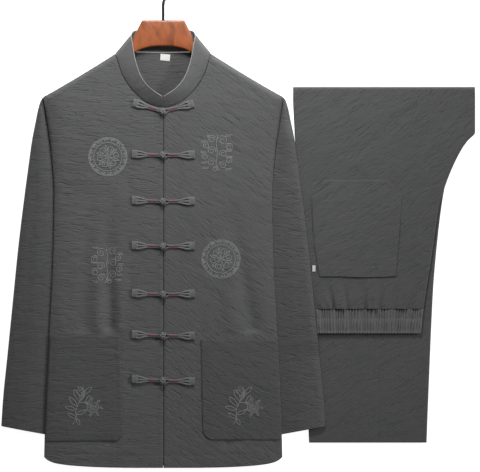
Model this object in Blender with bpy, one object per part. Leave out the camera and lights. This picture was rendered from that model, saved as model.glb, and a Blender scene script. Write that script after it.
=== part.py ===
"""Stand-collar jacket on a wooden hanger, laid flat with its folded trousers tucked under one sleeve.

Layout frame, in millimetres: x runs across from the centre front, y up from the lowest point of the hem,
z up from the table. "Right" and "left" are the wearer's, so the right half of the jacket has negative x.
"""

import math
from collections import namedtuple

import bmesh
import bpy
from mathutils import Vector
from mathutils.bvhtree import BVHTree

MM = 0.001

# Cloth and seams
CLOTH = 1.0
COLLAR_CLOTH = 1.8
SEAM = 0.3
LAID_ON = 0.45

# Jacket: outline of the body, from the hem up to the shoulder point
BodyRow = namedtuple("BodyRow", "y half_width loft squareness")
BODY = (
    BodyRow(0, 204.9, 12.5, 5),
    BodyRow(18, 204.7, 12.5, 5),
    BodyRow(116, 201.8, 12.5, 5),
    BodyRow(228, 196.3, 13.0, 5),
    BodyRow(391, 188.6, 13.5, 5),
    BodyRow(470, 187.6, 14.5, 6),
    BodyRow(546, 193.0, 16.5, 8),
    BodyRow(589, 199.0, 18.6, 11),
    BodyRow(622, 204.0, 20.4, 14),
    BodyRow(637, 205.5, 20.7, 16),
    BodyRow(715, 205.5, 20.7, 16),
)
BODY_EDGE_HEIGHT = 5.8
HEM_SWEEP = 10.0
HEM_CORNER = 8.0

# The shoulder seam, from the neck point to the shoulder point
NECK_POINT = (82.0, 711.6)
SHOULDER_POINT = (205.5, 637.3)
SHOULDER_SAG = 1.5
SHOULDER_ROLL = 10.0
SHOULDER_SEAM_HEIGHT = 9.8

# Stand collar, one row for each section of its right half, from the centre front round to the centre back
CollarRow = namedtuple("CollarRow", "seam_x seam_y seam_z top_x top_y top_z")
COLLAR = (
    CollarRow(0.3, 617.8, 20.2, 1.6, 637.0, 32.6),
    CollarRow(17.2, 622.0, 20.3, 10.0, 642.6, 34.4),
    CollarRow(32.7, 629.2, 20.5, 20.2, 649.6, 34.6),
    CollarRow(46.4, 641.2, 20.7, 30.0, 659.8, 33.6),
    CollarRow(57.0, 653.5, 20.8, 38.4, 673.0, 31.6),
    CollarRow(66.5, 668.0, 20.8, 44.8, 690.0, 29.4),
    CollarRow(73.2, 683.0, 20.8, 49.0, 706.0, 27.2),
    CollarRow(77.5, 697.0, 20.2, 51.6, 721.0, 25.2),
    CollarRow(80.4, 706.0, 17.4, 53.8, 734.0, 21.6),
    CollarRow(81.6, 712.0, 10.4, 55.0, 742.0, 13.6),
    CollarRow(78.0, 715.2, 4.0, 52.6, 748.4, 5.2),
    CollarRow(66.0, 715.6, 0.0, 46.0, 751.6, 0.0),
    CollarRow(36.0, 714.8, 0.0, 28.0, 753.0, 0.0),
    CollarRow(0.0, 714.4, 0.0, 0.0, 753.4, 0.0),
)
COLLAR_FRONT_ROWS = 10
COLLAR_BACK_ROW = 9

# Grid of a front panel: shares of the half width at the hem, and shoulder columns past the neck point
FRONT_HEM_SHARES = (
    0.0, 0.08, 0.16, 0.24, 0.305, 0.365, 0.42, 0.475, 0.53,
    0.59, 0.65, 0.71, 0.77, 0.83, 0.895, 0.95, 0.983, 1.0,
)
FRONT_SHOULDER_COLUMNS = (97.0, 118.0, 140.0, 160.0, 178.0, 192.0, 201.0)
FRONT_LEVELS = (24, 60, 100, 140, 180, 212, 234, 264, 302, 342, 384, 428, 472, 516, 556, 590)
FRONT_TOP_STEPS = ((0.62, 60.0), (0.36, 30.0), (0.18, 12.0), (0.08, 5.0), (0.0, 0.0))
COLUMN_FAN = (440.0, 600.0)

# Soft folds of the fronts: a crest where depth is positive, a trough where it is negative
Fold = namedtuple("Fold", "side x_start y_start x_end y_end width depth")
FOLDS = (
    Fold(-1, 96, 500, 92, 240, 11, -6.5),
    Fold(-1, 76, 470, 74, 240, 10, 2.0),
    Fold(-1, 112, 440, 112, 240, 10, 2.2),
    Fold(-1, 128, 530, 136, 240, 14, -3.2),
    Fold(1, 104, 520, 153, 240, 14, -6.5),
    Fold(1, 106, 430, 120, 240, 14, 2.4),
    Fold(1, 168, 430, 178, 240, 10, 1.6),
    Fold(-1, 150, 46, 92, 42, 8, -2.2),
    Fold(1, 176, 60, 110, 40, 8, -1.6),
)
FOLD_END_REACH = 14.0

# Patch pockets of the jacket
JacketPocket = namedtuple("JacketPocket", "side mouth bottom inner_top inner_bottom corner")
JACKET_POCKETS = (
    JacketPocket(-1, 226.5, 46.0, 75.0, 68.0, 15.0),
    JacketPocket(1, 219.5, 48.0, 65.0, 68.0, 15.0),
)
POCKET_COLUMNS = 8
POCKET_ROWS = 7
POCKET_EDGE_SHARE = 0.992

# Sleeves: outer fold, hidden inner fold and crest height of each section
SleeveRow = namedtuple("SleeveRow", "y outer inner crest")
SLEEVE = (
    SleeveRow(71.4, 278.6, 140.0, 8.6),
    SleeveRow(116.0, 275.7, 139.0, 9.2),
    SleeveRow(202.0, 267.1, 134.0, 9.5),
    SleeveRow(288.0, 258.5, 129.0, 9.5),
    SleeveRow(374.0, 249.9, 124.0, 9.8),
    SleeveRow(460.0, 239.6, 120.0, 10.0),
    SleeveRow(512.0, 232.7, 120.0, 10.2),
    SleeveRow(563.0, 225.6, 124.0, 10.6),
    SleeveRow(598.0, 218.8, 134.0, 10.8),
    SleeveRow(615.0, 215.4, 142.0, 9.2),
    SleeveRow(630.0, 211.0, 150.0, 5.4),
    SleeveRow(636.4, 207.2, 152.0, 4.4),
)
SLEEVE_LEVELS = (71.4, 78, 130, 188, 214, 250, 310, 370, 430, 490, 540, 566, 592, 612, 628, 636.4)
CUFF_SLOPE = 0.19
SLEEVE_HIDDEN_HEIGHT = 3.0

# Closed ring of a sleeve section: its underside from the inner fold out, then its top back in. A point lies
# at an anchor plus a shift plus a share of the visible width; its height is base plus a share of the rise
# from the hidden part to the crest, and lift is the share that it takes of the climb over the trousers.
RingPoint = namedtuple("RingPoint", "anchor shift share base rise lift")
SLEEVE_RING = (
    RingPoint("inner", 1.8, 0.0, 0.0, 0.0, 0.0),
    RingPoint("inner", 30.0, 0.0, 0.0, 0.0, 0.0),
    RingPoint("ridge", -11.0, 0.0, 0.0, 0.0, 0.0),
    RingPoint("ridge", 0.0, 0.0, 0.0, 0.0, 1.0),
    RingPoint("outer", -3.0, 0.0, 0.4, 0.0, 1.0),
    RingPoint("outer", 0.0, 0.0, 2.4, 0.1, 0.97),
    RingPoint("outer", 0.0, -0.07, 3.0, 0.5, 0.93),
    RingPoint("outer", 0.0, -0.25, 3.0, 0.88, 0.72),
    RingPoint("outer", 0.0, -0.48, 3.0, 1.0, 0.38),
    RingPoint("outer", 0.0, -0.74, 3.0, 0.7, 0.08),
    RingPoint("outer", 0.0, -0.94, 3.0, 0.18, 0.0),
    RingPoint("edge", -0.8, 0.0, 3.0, 0.0, 0.0),
    RingPoint("inner", 16.0, 0.0, 3.0, 0.0, 0.0),
    RingPoint("inner", 1.8, 0.0, 2.8, 0.0, 0.0),
    RingPoint("inner", 0.0, 0.0, 1.5, 0.0, 0.0),
)
VISIBLE_LEAST = 5.0

# How high the left sleeve climbs where it lies over the trousers
LiftRow = namedtuple("LiftRow", "y lift")
LIFT = (
    LiftRow(60, 6.3),
    LiftRow(190, 6.4),
    LiftRow(226, 12.6),
    LiftRow(300, 12.4),
    LiftRow(566, 12.0),
    LiftRow(600, 0.0),
    LiftRow(640, 0.0),
)
RIDGE_BEFORE_TROUSERS = 2.5
RIDGE_WITHIN_SLEEVE = 10.0

# Back panel: lies on the table in its middle and climbs over the hidden part of the sleeves
BACK_SHORTER = 3.0
BACK_NARROWER = 1.8
BACK_SIDE_HEIGHT = 3.4
BACK_RAMP = (14.0, 3.0)
BACK_SHOULDER_RISE = 7.2
BACK_SHOULDER_REACH = 5.0
BACK_LEVELS = (50, 130, 215, 300, 390, 470, 540, 590)
BACK_TOP_STEPS = ((0.5, 40.0), (0.2, 12.0), (0.1, 5.5), (0.0, 0.0))
BACK_LOWER_COLUMNS = (0.0, 26.0, 48.0, 66.0, 82.0)
BACK_NECK_GAP = 0.5

# Size label in the back neck
LABEL_CENTRE = (3.2, 705.2)
LABEL_SIZE = (18.6, 12.8, 0.6)
LABEL_TURN = math.radians(-5)

# Frog closures, from the neck down
Frog = namedtuple("Frog", "y rise_right rise_left")
FROGS = (
    Frog(608.6, 14.0, 16.0),
    Frog(536.6, 2.0, 1.0),
    Frog(457.0, 2.5, 1.0),
    Frog(380.0, 2.0, 1.0),
    Frog(297.4, 2.5, 1.5),
    Frog(226.5, 2.5, 0.0),
    Frog(149.3, 3.0, -1.0),
)
FrogSection = namedtuple("FrogSection", "distance half_width rise dip")
KNOT_HALF = (
    FrogSection(-6.8, 1.8, 4.2, 0.0),
    FrogSection(-3.6, 5.6, 8.0, 0.0),
    FrogSection(0.6, 6.9, 9.2, 0.0),
    FrogSection(4.6, 5.2, 7.8, 0.0),
    FrogSection(8.0, 2.6, 4.2, 0.0),
    FrogSection(24.0, 2.3, 3.4, 0.0),
    FrogSection(33.0, 4.2, 3.8, 1.4),
    FrogSection(44.0, 6.2, 4.2, 2.0),
    FrogSection(46.0, 6.6, 4.6, 0.2),
    FrogSection(55.0, 6.8, 4.4, 0.2),
)
LOOP_HALF = (
    FrogSection(7.3, 4.6, 4.6, 0.8),
    FrogSection(11.5, 3.8, 4.2, 0.6),
) + KNOT_HALF[5:]
KNOT_SIDE = -1
FROG_LAID_ON = 0.35

# Wooden hanger, right half from the top of its middle out to the tip and back along its lower edge
HangerPoint = namedtuple("HangerPoint", "x y")
HANGER_OUTLINE = (
    HangerPoint(36.5, 768.8),
    HangerPoint(48.0, 745.0),
    HangerPoint(54.5, 732.0),
    HangerPoint(62.0, 719.5),
    HangerPoint(70.5, 708.0),
    HangerPoint(80.0, 700.5),
    HangerPoint(97.0, 691.0),
    HangerPoint(129.0, 673.8),
    HangerPoint(160.0, 656.6),
    HangerPoint(180.0, 645.6),
    HangerPoint(186.0, 640.6),
    HangerPoint(187.4, 635.6),
    HangerPoint(184.6, 631.4),
    HangerPoint(178.6, 631.0),
    HangerPoint(160.0, 640.2),
    HangerPoint(129.0, 655.6),
    HangerPoint(97.0, 672.6),
    HangerPoint(80.0, 685.5),
    HangerPoint(62.0, 702.0),
    HangerPoint(51.0, 711.6),
    HangerPoint(38.0, 718.6),
    HangerPoint(20.0, 723.2),
    HangerPoint(0.0, 724.6),
)
HANGER_BOTTOM = 5.2
HANGER_THICKNESS = 12.0
HANGER_EDGE = 2.4

# Wire hook of the hanger, route of its middle line from the wood up
HookPoint = namedtuple("HookPoint", "x y")
HOOK_ROUTE = (
    HookPoint(0.0, 769.1),
    HookPoint(0.0, 782.0),
    HookPoint(0.0, 795.0),
    HookPoint(1.4, 802.6),
    HookPoint(7.0, 809.0),
    HookPoint(13.2, 817.0),
    HookPoint(14.6, 827.0),
    HookPoint(9.6, 836.4),
    HookPoint(0.0, 840.0),
    HookPoint(-9.6, 836.6),
    HookPoint(-15.2, 828.0),
    HookPoint(-16.0, 818.0),
)
HOOK_RADIUS = 2.5
HOOK_STEPS = 3
HOOK_SIDES = 10

# Folded trousers: left and right edges of the upper fold and of the legs below it
EdgeRow = namedtuple("EdgeRow", "y left right")
UPPER_FOLD = (
    EdgeRow(229.0, 240.4, 442.4),
    EdgeRow(231.0, 240.3, 442.6),
    EdgeRow(271.6, 238.6, 447.0),
    EdgeRow(317.3, 236.6, 453.6),
    EdgeRow(365.5, 234.6, 461.3),
    EdgeRow(408.5, 232.7, 467.4),
    EdgeRow(451.5, 230.9, 474.2),
    EdgeRow(480.0, 229.7, 483.0),
    EdgeRow(511.7, 228.3, 495.0),
    EdgeRow(546.0, 226.8, 512.0),
    EdgeRow(563.0, 226.1, 524.0),
    EdgeRow(576.0, 225.5, 535.8),
    EdgeRow(640.0, 222.8, 535.8),
    EdgeRow(654.5, 223.6, 535.0),
)
LOWER_LEGS = (
    EdgeRow(43.0, 250.6, 452.7),
    EdgeRow(81.7, 248.8, 454.1),
    EdgeRow(176.3, 244.4, 457.9),
    EdgeRow(245.1, 241.2, 460.8),
    EdgeRow(313.9, 238.0, 464.4),
    EdgeRow(391.3, 234.4, 471.3),
    EdgeRow(460.1, 231.2, 479.9),
    EdgeRow(494.5, 229.6, 487.0),
    EdgeRow(528.9, 228.0, 502.0),
    EdgeRow(556.0, 226.8, 518.0),
    EdgeRow(576.0, 225.8, 533.6),
    EdgeRow(654.5, 222.2, 534.0),
)
PLY = 1.2
PLY_NOTCH = 1.4
HIDDEN_PLIES = 3
LOWER_LEG_TOP = 5.7
LOWER_LEG_END = 628.0
LEG_HEM = 22.0
HEM_DOUBLING = 0.5
SEAT_TOP = 11.2
SEAT_FOLD_Y = 654.5
SEAT_FOLD_END = 645.5
SEAT_LEVELS = (276, 286, 300, 320, 346, 380, 420, 460, 500, 535, 563, 576, 612, 640)
SEAT_FOLD_STEPS = 5
SEAT_COLUMNS = 26
SEAT_EDGE_ROLL = 3.0
SIDE_INSET = 3.6

# Gathers of the seat under the waistband
GATHERS = 8
GATHER_DEPTH = 2.6
GATHER_REACH = 62.0
GATHER_LEAN = 0.55
GATHER_HIDDEN_SHARE = 0.1

# Elastic waistband
BAND_SEAM = 272.4
BAND_END = 231.0
BAND_BOTTOM = 10.0
BAND_TOP = 11.1
RUFFLES = 44
RuffleRow = namedtuple("RuffleRow", "share depth")
RUFFLE_ROWS = (
    RuffleRow(0.0, 0.5),
    RuffleRow(0.26, 1.3),
    RuffleRow(0.5, 0.5),
    RuffleRow(0.76, 1.3),
    RuffleRow(1.0, 0.6),
)

# Patch pocket of the trousers, its mouth towards the waistband, so it lies upside down
PocketRow = namedtuple("PocketRow", "y left right")
TROUSER_POCKET = (
    PocketRow(328.0, 268.5, 399.8),
    PocketRow(346.0, 265.0, 401.2),
    PocketRow(380.0, 259.6, 404.0),
    PocketRow(420.0, 256.6, 407.0),
    PocketRow(466.0, 254.6, 410.0),
    PocketRow(494.5, 276.0, 387.0),
)
TAB_LOW = (261.5, 337.0)
TAB_SIZE = (5.4, 10.5, 0.6)

# The whole set is centred on the frame's origin
SET_LEFT = -SLEEVE[0].outer
SET_RIGHT = UPPER_FOLD[-2].right
SET_TOP = HOOK_ROUTE[8].y + HOOK_RADIUS
SET_CENTRE = ((SET_LEFT + SET_RIGHT) / 2, SET_TOP / 2)

Finish = namedtuple("Finish", "name colour roughness metallic")
LINEN = Finish("charcoal_linen", (0.105, 0.107, 0.106), 0.9, 0.0)
CORD = Finish("charcoal_frog_cord", (0.085, 0.087, 0.087), 0.8, 0.0)
WOOD = Finish("varnished_mahogany", (0.16, 0.035, 0.012), 0.28, 0.0)
WIRE = Finish("black_hook_wire", (0.012, 0.012, 0.013), 0.3, 1.0)
TAPE = Finish("white_label_tape", (0.82, 0.82, 0.80), 0.85, 0.0)


def clear_scene():
    """Remove what the start-up file holds."""
    for old in list(bpy.data.objects):
        bpy.data.objects.remove(old)


def material(finish):
    """The Principled material of a finish, made once."""
    found = bpy.data.materials.get(finish.name)
    if found:
        return found
    made = bpy.data.materials.new(finish.name)
    made.use_nodes = True
    shader = made.node_tree.nodes["Principled BSDF"]
    shader.inputs["Base Color"].default_value = (*finish.colour, 1.0)
    shader.inputs["Roughness"].default_value = finish.roughness
    shader.inputs["Metallic"].default_value = finish.metallic
    return made


def smooth_step(value, low, high):
    """0 below low, 1 above high and an even S between them."""
    share = min(1.0, max(0.0, (value - low) / (high - low)))
    return share * share * (3.0 - 2.0 * share)


def read_curve(table, column, at, key="y"):
    """A column's value at a place on a table's key, on a smooth curve that never overshoots the rows."""
    keys = [getattr(row, key) for row in table]
    values = [getattr(row, column) for row in table]
    if at <= keys[0]:
        return values[0]
    if at >= keys[-1]:
        return values[-1]
    k = next(i for i in range(len(keys) - 1) if keys[i] <= at <= keys[i + 1])
    slopes = [(values[i + 1] - values[i]) / (keys[i + 1] - keys[i]) for i in range(len(keys) - 1)]

    def tangent(i):
        if i == 0 or i == len(keys) - 1:
            return slopes[0 if i == 0 else -1]
        if slopes[i - 1] * slopes[i] <= 0:
            return 0.0
        return 2.0 / (1.0 / slopes[i - 1] + 1.0 / slopes[i])

    span = keys[k + 1] - keys[k]
    t = (at - keys[k]) / span
    near, far = tangent(k) * span, tangent(k + 1) * span
    return (
        (2 * t**3 - 3 * t**2 + 1) * values[k]
        + (t**3 - 2 * t**2 + t) * near
        + (3 * t**2 - 2 * t**3) * values[k + 1]
        + (t**3 - t**2) * far
    )


def distance_to_line(x, y, start, end):
    """Distance from a point to a straight stretch, and how far along it the nearest place lies, 0 to 1."""
    run = Vector((end[0] - start[0], end[1] - start[1]))
    to = Vector((x - start[0], y - start[1]))
    share = min(1.0, max(0.0, to.dot(run) / run.length_squared))
    return (to - run * share).length, share


def add_object(name, verts, faces, finish, frame, smooth=True):
    """One mesh object in the layout frame, given in millimetres."""
    mesh = bpy.data.meshes.new(name)
    mesh.from_pydata([[c * MM for c in v] for v in verts], [], faces)
    mesh.validate()
    if smooth:
        mesh.shade_smooth()
        mesh.set_sharp_from_angle(angle=math.radians(50))
    mesh.materials.append(material(finish))
    made = bpy.data.objects.new(name, mesh)
    bpy.context.scene.collection.objects.link(made)
    made.parent = frame
    return made


def add_wall(made, thickness):
    """Give a single surface its wall, on the side away from its normals."""
    wall = made.modifiers.new("Wall", "SOLIDIFY")
    wall.thickness = thickness * MM
    wall.offset = -1.0
    wall.use_even_offset = True
    wall.use_quality_normals = True
    return made


def grid_faces(rows, columns, flip=False, closed=False):
    """Quads of a grid of rows x columns points, counted row by row."""
    faces = []
    for j in range(rows - 1):
        for i in range(columns if closed else columns - 1):
            n = (i + 1) % columns
            quad = (j * columns + i, j * columns + n, (j + 1) * columns + n, (j + 1) * columns + i)
            faces.append(quad[::-1] if flip else quad)
    return faces


def add_panel(name, grid, finish, frame, flip=False, thickness=CLOTH):
    """A cloth panel whose outer side is a grid of points and whose wall lies behind it."""
    verts = [point for row in grid for point in row]
    made = add_object(name, verts, grid_faces(len(grid), len(grid[0]), flip), finish, frame)
    return add_wall(made, thickness)


def add_loft(name, rings, finish, frame, flip=False):
    """A closed solid through rings with the same number of points, with a flat cap at each end."""
    count = len(rings[0])
    verts = [point for ring in rings for point in ring]
    faces = grid_faces(len(rings), count, flip, closed=True)
    first = tuple(range(count))
    last = tuple(range((len(rings) - 1) * count, len(rings) * count))
    faces += [first, last[::-1]] if flip else [first[::-1], last]
    return add_object(name, verts, faces, finish, frame)


def add_two_sided(name, top, bottom, finish, frame):
    """A closed slab between a worked top and a plain underside, grids that share their columns and ends."""
    columns = len(top[0])
    verts = [p for row in top for p in row] + [p for row in bottom for p in row]
    base = len(top) * columns
    faces = grid_faces(len(top), columns)
    faces += [tuple(base + i for i in quad[::-1]) for quad in grid_faces(len(bottom), columns)]
    top_last, bottom_last = (len(top) - 1) * columns, base + (len(bottom) - 1) * columns
    for i in range(columns - 1):
        faces.append((base + i, base + i + 1, i + 1, i))
        faces.append((top_last + i, top_last + i + 1, bottom_last + i + 1, bottom_last + i))
    left = [j * columns for j in range(len(top))]
    under = [base + j * columns for j in range(len(bottom))]
    faces.append(tuple(left + under[::-1]))
    faces.append(tuple([i + columns - 1 for i in under] + [i + columns - 1 for i in left[::-1]]))
    return add_object(name, verts, faces, finish, frame, smooth=False)


def half_width(y):
    """Distance from the centre front to the side edge of the jacket's body."""
    return read_curve(BODY, "half_width", y)


def fold_height(side, x, y):
    """How far the folds of one front lift or sink it."""
    total = 0.0
    for fold in FOLDS:
        if fold.side != side:
            continue
        away, share = distance_to_line(
            x, y, (fold.x_start, fold.y_start), (fold.x_end, fold.y_end)
        )
        past_end = max(0.0, min(fold.y_start, fold.y_end) - y)
        fade = 1.0 - smooth_step(past_end, 0.0, FOLD_END_REACH)
        total += fold.depth * smooth_step(share, 0.0, 1.0) * math.exp(-((away / fold.width) ** 2)) * fade
    return total


def shoulder_line(x):
    """Height of the shoulder seam at a place across, a straight seam with a slight sag."""
    share = (x - NECK_POINT[0]) / (SHOULDER_POINT[0] - NECK_POINT[0])
    straight = NECK_POINT[1] + (SHOULDER_POINT[1] - NECK_POINT[1]) * share
    return straight - SHOULDER_SAG * 4.0 * share * (1.0 - share)


def front_height(side, x, y):
    """Height of a front's outer side, x counted outwards from the centre front."""
    share = min(1.0, x / half_width(y))
    squareness = read_curve(BODY, "squareness", y)
    loft = read_curve(BODY, "loft", y)
    rounding = math.sqrt(max(0.0, 1.0 - share**squareness))
    height = BODY_EDGE_HEIGHT + (loft - BODY_EDGE_HEIGHT) * rounding
    height += fold_height(side, x, y) * rounding
    from_seam, _ = distance_to_line(x, y, NECK_POINT, SHOULDER_POINT)
    roll = 1.0 - (1.0 - min(1.0, from_seam / SHOULDER_ROLL)) ** 2
    return SHOULDER_SEAM_HEIGHT + (height - SHOULDER_SEAM_HEIGHT) * roll if roll < 1.0 else height


def hem_line(x, y=0.0):
    """Height of the hem at a place across: a slow sweep that turns up in a rounded corner."""
    share = min(1.0, x / half_width(y))
    return HEM_SWEEP * share**3.5 + HEM_CORNER * share**24


def front_columns():
    """Top end of each column of a front: along the neck seam, then along the shoulder seam."""
    neck = [(row.seam_x, row.seam_y - 0.4) for row in COLLAR[: COLLAR_FRONT_ROWS - 1]]
    neck = [(max(SEAM, x + (0.4 if x > 50 else 0.0)), y) for x, y in neck]
    shoulder = [NECK_POINT] + [(x, shoulder_line(x)) for x in FRONT_SHOULDER_COLUMNS]
    return neck + shoulder + [SHOULDER_POINT]


def front_grid(side):
    """Points of a front's outer side, row by row from the hem up, centre front first."""
    tops = front_columns()
    reach = SHOULDER_POINT[0]
    rows = []
    for level in (None,) + FRONT_LEVELS:
        row = []
        for hem_share, (top_x, _) in zip(FRONT_HEM_SHARES, tops):
            y = level if level is not None else 0.0
            fan = smooth_step(y, *COLUMN_FAN)
            x = max(SEAM, half_width(y) * (hem_share + (top_x / reach - hem_share) * fan))
            if level is None:
                y = hem_line(x)
            row.append((side * x, y, front_height(side, x, y)))
        rows.append(row)
    start = FRONT_LEVELS[-1]
    for share, most in FRONT_TOP_STEPS:
        row = []
        for top_x, top_y in tops:
            y = top_y - min(most, share * (top_y - start))
            x = top_x * half_width(y) / reach
            row.append((side * x, y, front_height(side, x, y)))
        rows.append(row)
    return rows


def add_fronts(frame):
    """Both fronts, and a way to find the height of each one's outer side."""
    fronts = {}
    for side, name in ((-1, "jacket_front_right"), (1, "jacket_front_left")):
        grid = front_grid(side)
        add_panel(name, grid, LINEN, frame, flip=side < 0)
        verts = [Vector(p) for row in grid for p in row]
        fronts[side] = BVHTree.FromPolygons(verts, grid_faces(len(grid), len(grid[0])))
    return fronts


def surface_height(tree, x, y, reach=0.0):
    """Height of a surface over a place, the highest within a small reach of it."""
    found = []
    for dx, dy in ((0, 0), (reach, 0), (-reach, 0), (0, reach), (0, -reach)):
        hit = tree.ray_cast(Vector((x + dx, y + dy, 100.0)), Vector((0, 0, -1)))[0]
        if hit is not None:
            found.append(hit.z)
    return max(found)


def sleeve_inner(y):
    """Where the hidden inner fold of a sleeve lies, out from the centre front."""
    return read_curve(SLEEVE, "inner", y)


def back_height(x, y):
    """Height of the back's underside, x counted outwards from the centre."""
    inner = sleeve_inner(y)
    height = BACK_SIDE_HEIGHT * min(1.0, max(0.0, (x - inner + BACK_RAMP[0]) / (BACK_RAMP[0] - BACK_RAMP[1])))
    from_seam, _ = distance_to_line(x, y, NECK_POINT, SHOULDER_POINT)
    rise = max(0.0, 1.0 - from_seam / BACK_SHOULDER_REACH)
    return height + (BACK_SHOULDER_RISE - height) * rise


def back_outer_columns(y):
    """Outer columns of the back: foot and head of its ramp over the sleeve, midway on, and its side edge."""
    foot, head = [sleeve_inner(y) - reach for reach in BACK_RAMP]
    edge = half_width(y) - BACK_NARROWER
    return [foot, head, (head + edge) / 2, edge]


def back_half_rows():
    """Points of one half of the back, row by row from the hem up, centre first, all with x at or over 0."""
    rows = []
    for level in (None,) + BACK_LEVELS:
        y = BACK_SHORTER if level is None else level
        columns = list(BACK_LOWER_COLUMNS) + back_outer_columns(y)
        if level is None:
            rows.append([(x, hem_line(x) + BACK_SHORTER, back_height(x, y)) for x in columns])
        else:
            rows.append([(x, y, back_height(x, y)) for x in columns])
    start = BACK_LEVELS[-1]
    neck = [(row.seam_x, row.seam_y - BACK_NECK_GAP) for row in COLLAR[:COLLAR_BACK_ROW:-1]]
    shoulder = [(x, shoulder_line(x)) for x in back_outer_columns(SHOULDER_POINT[1])]
    for share, most in BACK_TOP_STEPS:
        row = []
        for place, (top_x, top_y) in enumerate(neck + [NECK_POINT] + shoulder):
            y = top_y - min(most, share * (top_y - start))
            if place < len(BACK_LOWER_COLUMNS):
                fan = smooth_step(top_y - y, 0.0, top_y - start)
                x = top_x + (BACK_LOWER_COLUMNS[place] - top_x) * fan
            else:
                x = back_outer_columns(y)[place - len(BACK_LOWER_COLUMNS)]
            row.append((x, y, back_height(x, y)))
        rows.append(row)
    return rows


def add_back(frame):
    """The back panel, whole across, its underside given and its wall above it."""
    grid = []
    for row in back_half_rows():
        grid.append([(-x, y, z) for x, y, z in row[:0:-1]] + row)
    return add_panel("jacket_back", grid, LINEN, frame, flip=True)


def trouser_left(y):
    """Left edge of the folded trousers, whichever layer reaches further."""
    upper = read_curve(UPPER_FOLD, "left", y) if y > BAND_END - 4 else 1000.0
    return min(upper, read_curve(LOWER_LEGS, "left", y))


def sleeve_ring(side, level):
    """One section of a sleeve as a closed ring of points on its outer side."""
    outer = read_curve(SLEEVE, "outer", level)
    inner = sleeve_inner(level)
    edge = half_width(level)
    visible = max(VISIBLE_LEAST, outer - edge)
    lift = read_curve(LIFT, "lift", level) if side > 0 else 0.0
    ridge = min(trouser_left(level) - RIDGE_BEFORE_TROUSERS, outer - RIDGE_WITHIN_SLEEVE)
    anchors = {"inner": inner, "outer": outer, "edge": min(edge, outer - visible), "ridge": ridge}
    rise = read_curve(SLEEVE, "crest", level) - SLEEVE_HIDDEN_HEIGHT
    ring = []
    for point in SLEEVE_RING:
        x = anchors[point.anchor] + point.shift + point.share * visible
        z = point.base + point.rise * rise + point.lift * lift
        ring.append((side * x, level - CUFF_SLOPE * (outer - x), z))
    return ring


def add_sleeve(side, name, frame):
    """A sleeve: a flattened tube of cloth, open at the cuff and at the armhole."""
    rings = [sleeve_ring(side, level) for level in SLEEVE_LEVELS]
    verts = [point for ring in rings for point in ring]
    faces = grid_faces(len(rings), len(rings[0]), flip=side > 0, closed=True)
    return add_wall(add_object(name, verts, faces, LINEN, frame), CLOTH)


def add_collar(frame):
    """The stand collar: one band round the neck, open at the centre front, flat behind the hanger."""
    right = [(-row.seam_x, row.seam_y, row.seam_z, -row.top_x, row.top_y, row.top_z) for row in COLLAR]
    left = [(row.seam_x, row.seam_y, row.seam_z, row.top_x, row.top_y, row.top_z) for row in COLLAR[-2::-1]]
    sections = right + left
    grid = []
    for share in (0.0, 0.5, 1.0):
        bow = 0.8 * math.sin(math.pi * share)
        grid.append(
            [
                (sx + (tx - sx) * share, sy + (ty - sy) * share, sz + (tz - sz) * share + bow * min(1.0, sz / 20.0))
                for sx, sy, sz, tx, ty, tz in sections
            ]
        )
    return add_panel("jacket_collar", grid, LINEN, frame, flip=True, thickness=COLLAR_CLOTH)


def jacket_pocket_grid(pocket, tree):
    """Outer side of a patch pocket, moved out from the front that it lies on."""
    rows = []
    for j in range(POCKET_ROWS + 1):
        up = j / POCKET_ROWS
        row = []
        for i in range(POCKET_COLUMNS + 1):
            out = i / POCKET_COLUMNS
            inner = pocket.inner_bottom + (pocket.inner_top - pocket.inner_bottom) * up
            y = pocket.bottom + (pocket.mouth - pocket.bottom) * up
            x = inner + (half_width(y) * POCKET_EDGE_SHARE - inner) * out
            if j == 0 and i == 0:
                x, y = x + pocket.corner * 0.3, y + pocket.corner * 0.3
            height = surface_height(tree, pocket.side * x, y, 5.0)
            row.append((pocket.side * x, y, height + LAID_ON + CLOTH))
        rows.append(row)
    return rows


def add_jacket_pockets(fronts, frame):
    """Two patch pockets, sewn on three sides and open at the top."""
    for pocket in JACKET_POCKETS:
        name = "jacket_pocket_right" if pocket.side < 0 else "jacket_pocket_left"
        grid = jacket_pocket_grid(pocket, fronts[pocket.side])
        add_panel(name, grid, LINEN, frame, flip=pocket.side < 0)


def frog_rings(sections, side, frog, fronts):
    """Cross sections of one half of a frog closure, from the centre front out."""
    rise = frog.rise_right if side < 0 else frog.rise_left
    turn = math.atan2(rise, KNOT_HALF[-1].distance)
    rings = []
    for section in sections:
        x = section.distance * math.cos(turn)
        y = frog.y + section.distance * math.sin(turn)
        w, h, dip = section.half_width, section.rise, section.dip
        profile = ((-w, 0.0), (w, 0.0), (w, 0.55 * h), (0.55 * w, h), (0.0, h - dip), (-0.55 * w, h), (-w, 0.55 * h))
        ring = []
        over = side if x > 0 else -side
        floor = max(surface_height(fronts[over], side * x, y + dy, 1.5) for dy in (-w, 0.0, w))
        for across, up in profile:
            px = x - across * math.sin(turn)
            py = y + across * math.cos(turn)
            ring.append((side * px, py, floor + FROG_LAID_ON + up))
        rings.append(ring)
    return rings


def add_frogs(fronts, frame):
    """Seven frog closures, each a knot half and a loop half."""
    for number, frog in enumerate(FROGS, start=1):
        knot = frog_rings(KNOT_HALF, KNOT_SIDE, frog, fronts)
        loop = frog_rings(LOOP_HALF, -KNOT_SIDE, frog, fronts)
        add_loft(f"frog_{number}_knot", knot, CORD, frame, flip=KNOT_SIDE < 0)
        add_loft(f"frog_{number}_loop", loop, CORD, frame, flip=KNOT_SIDE > 0)


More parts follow.
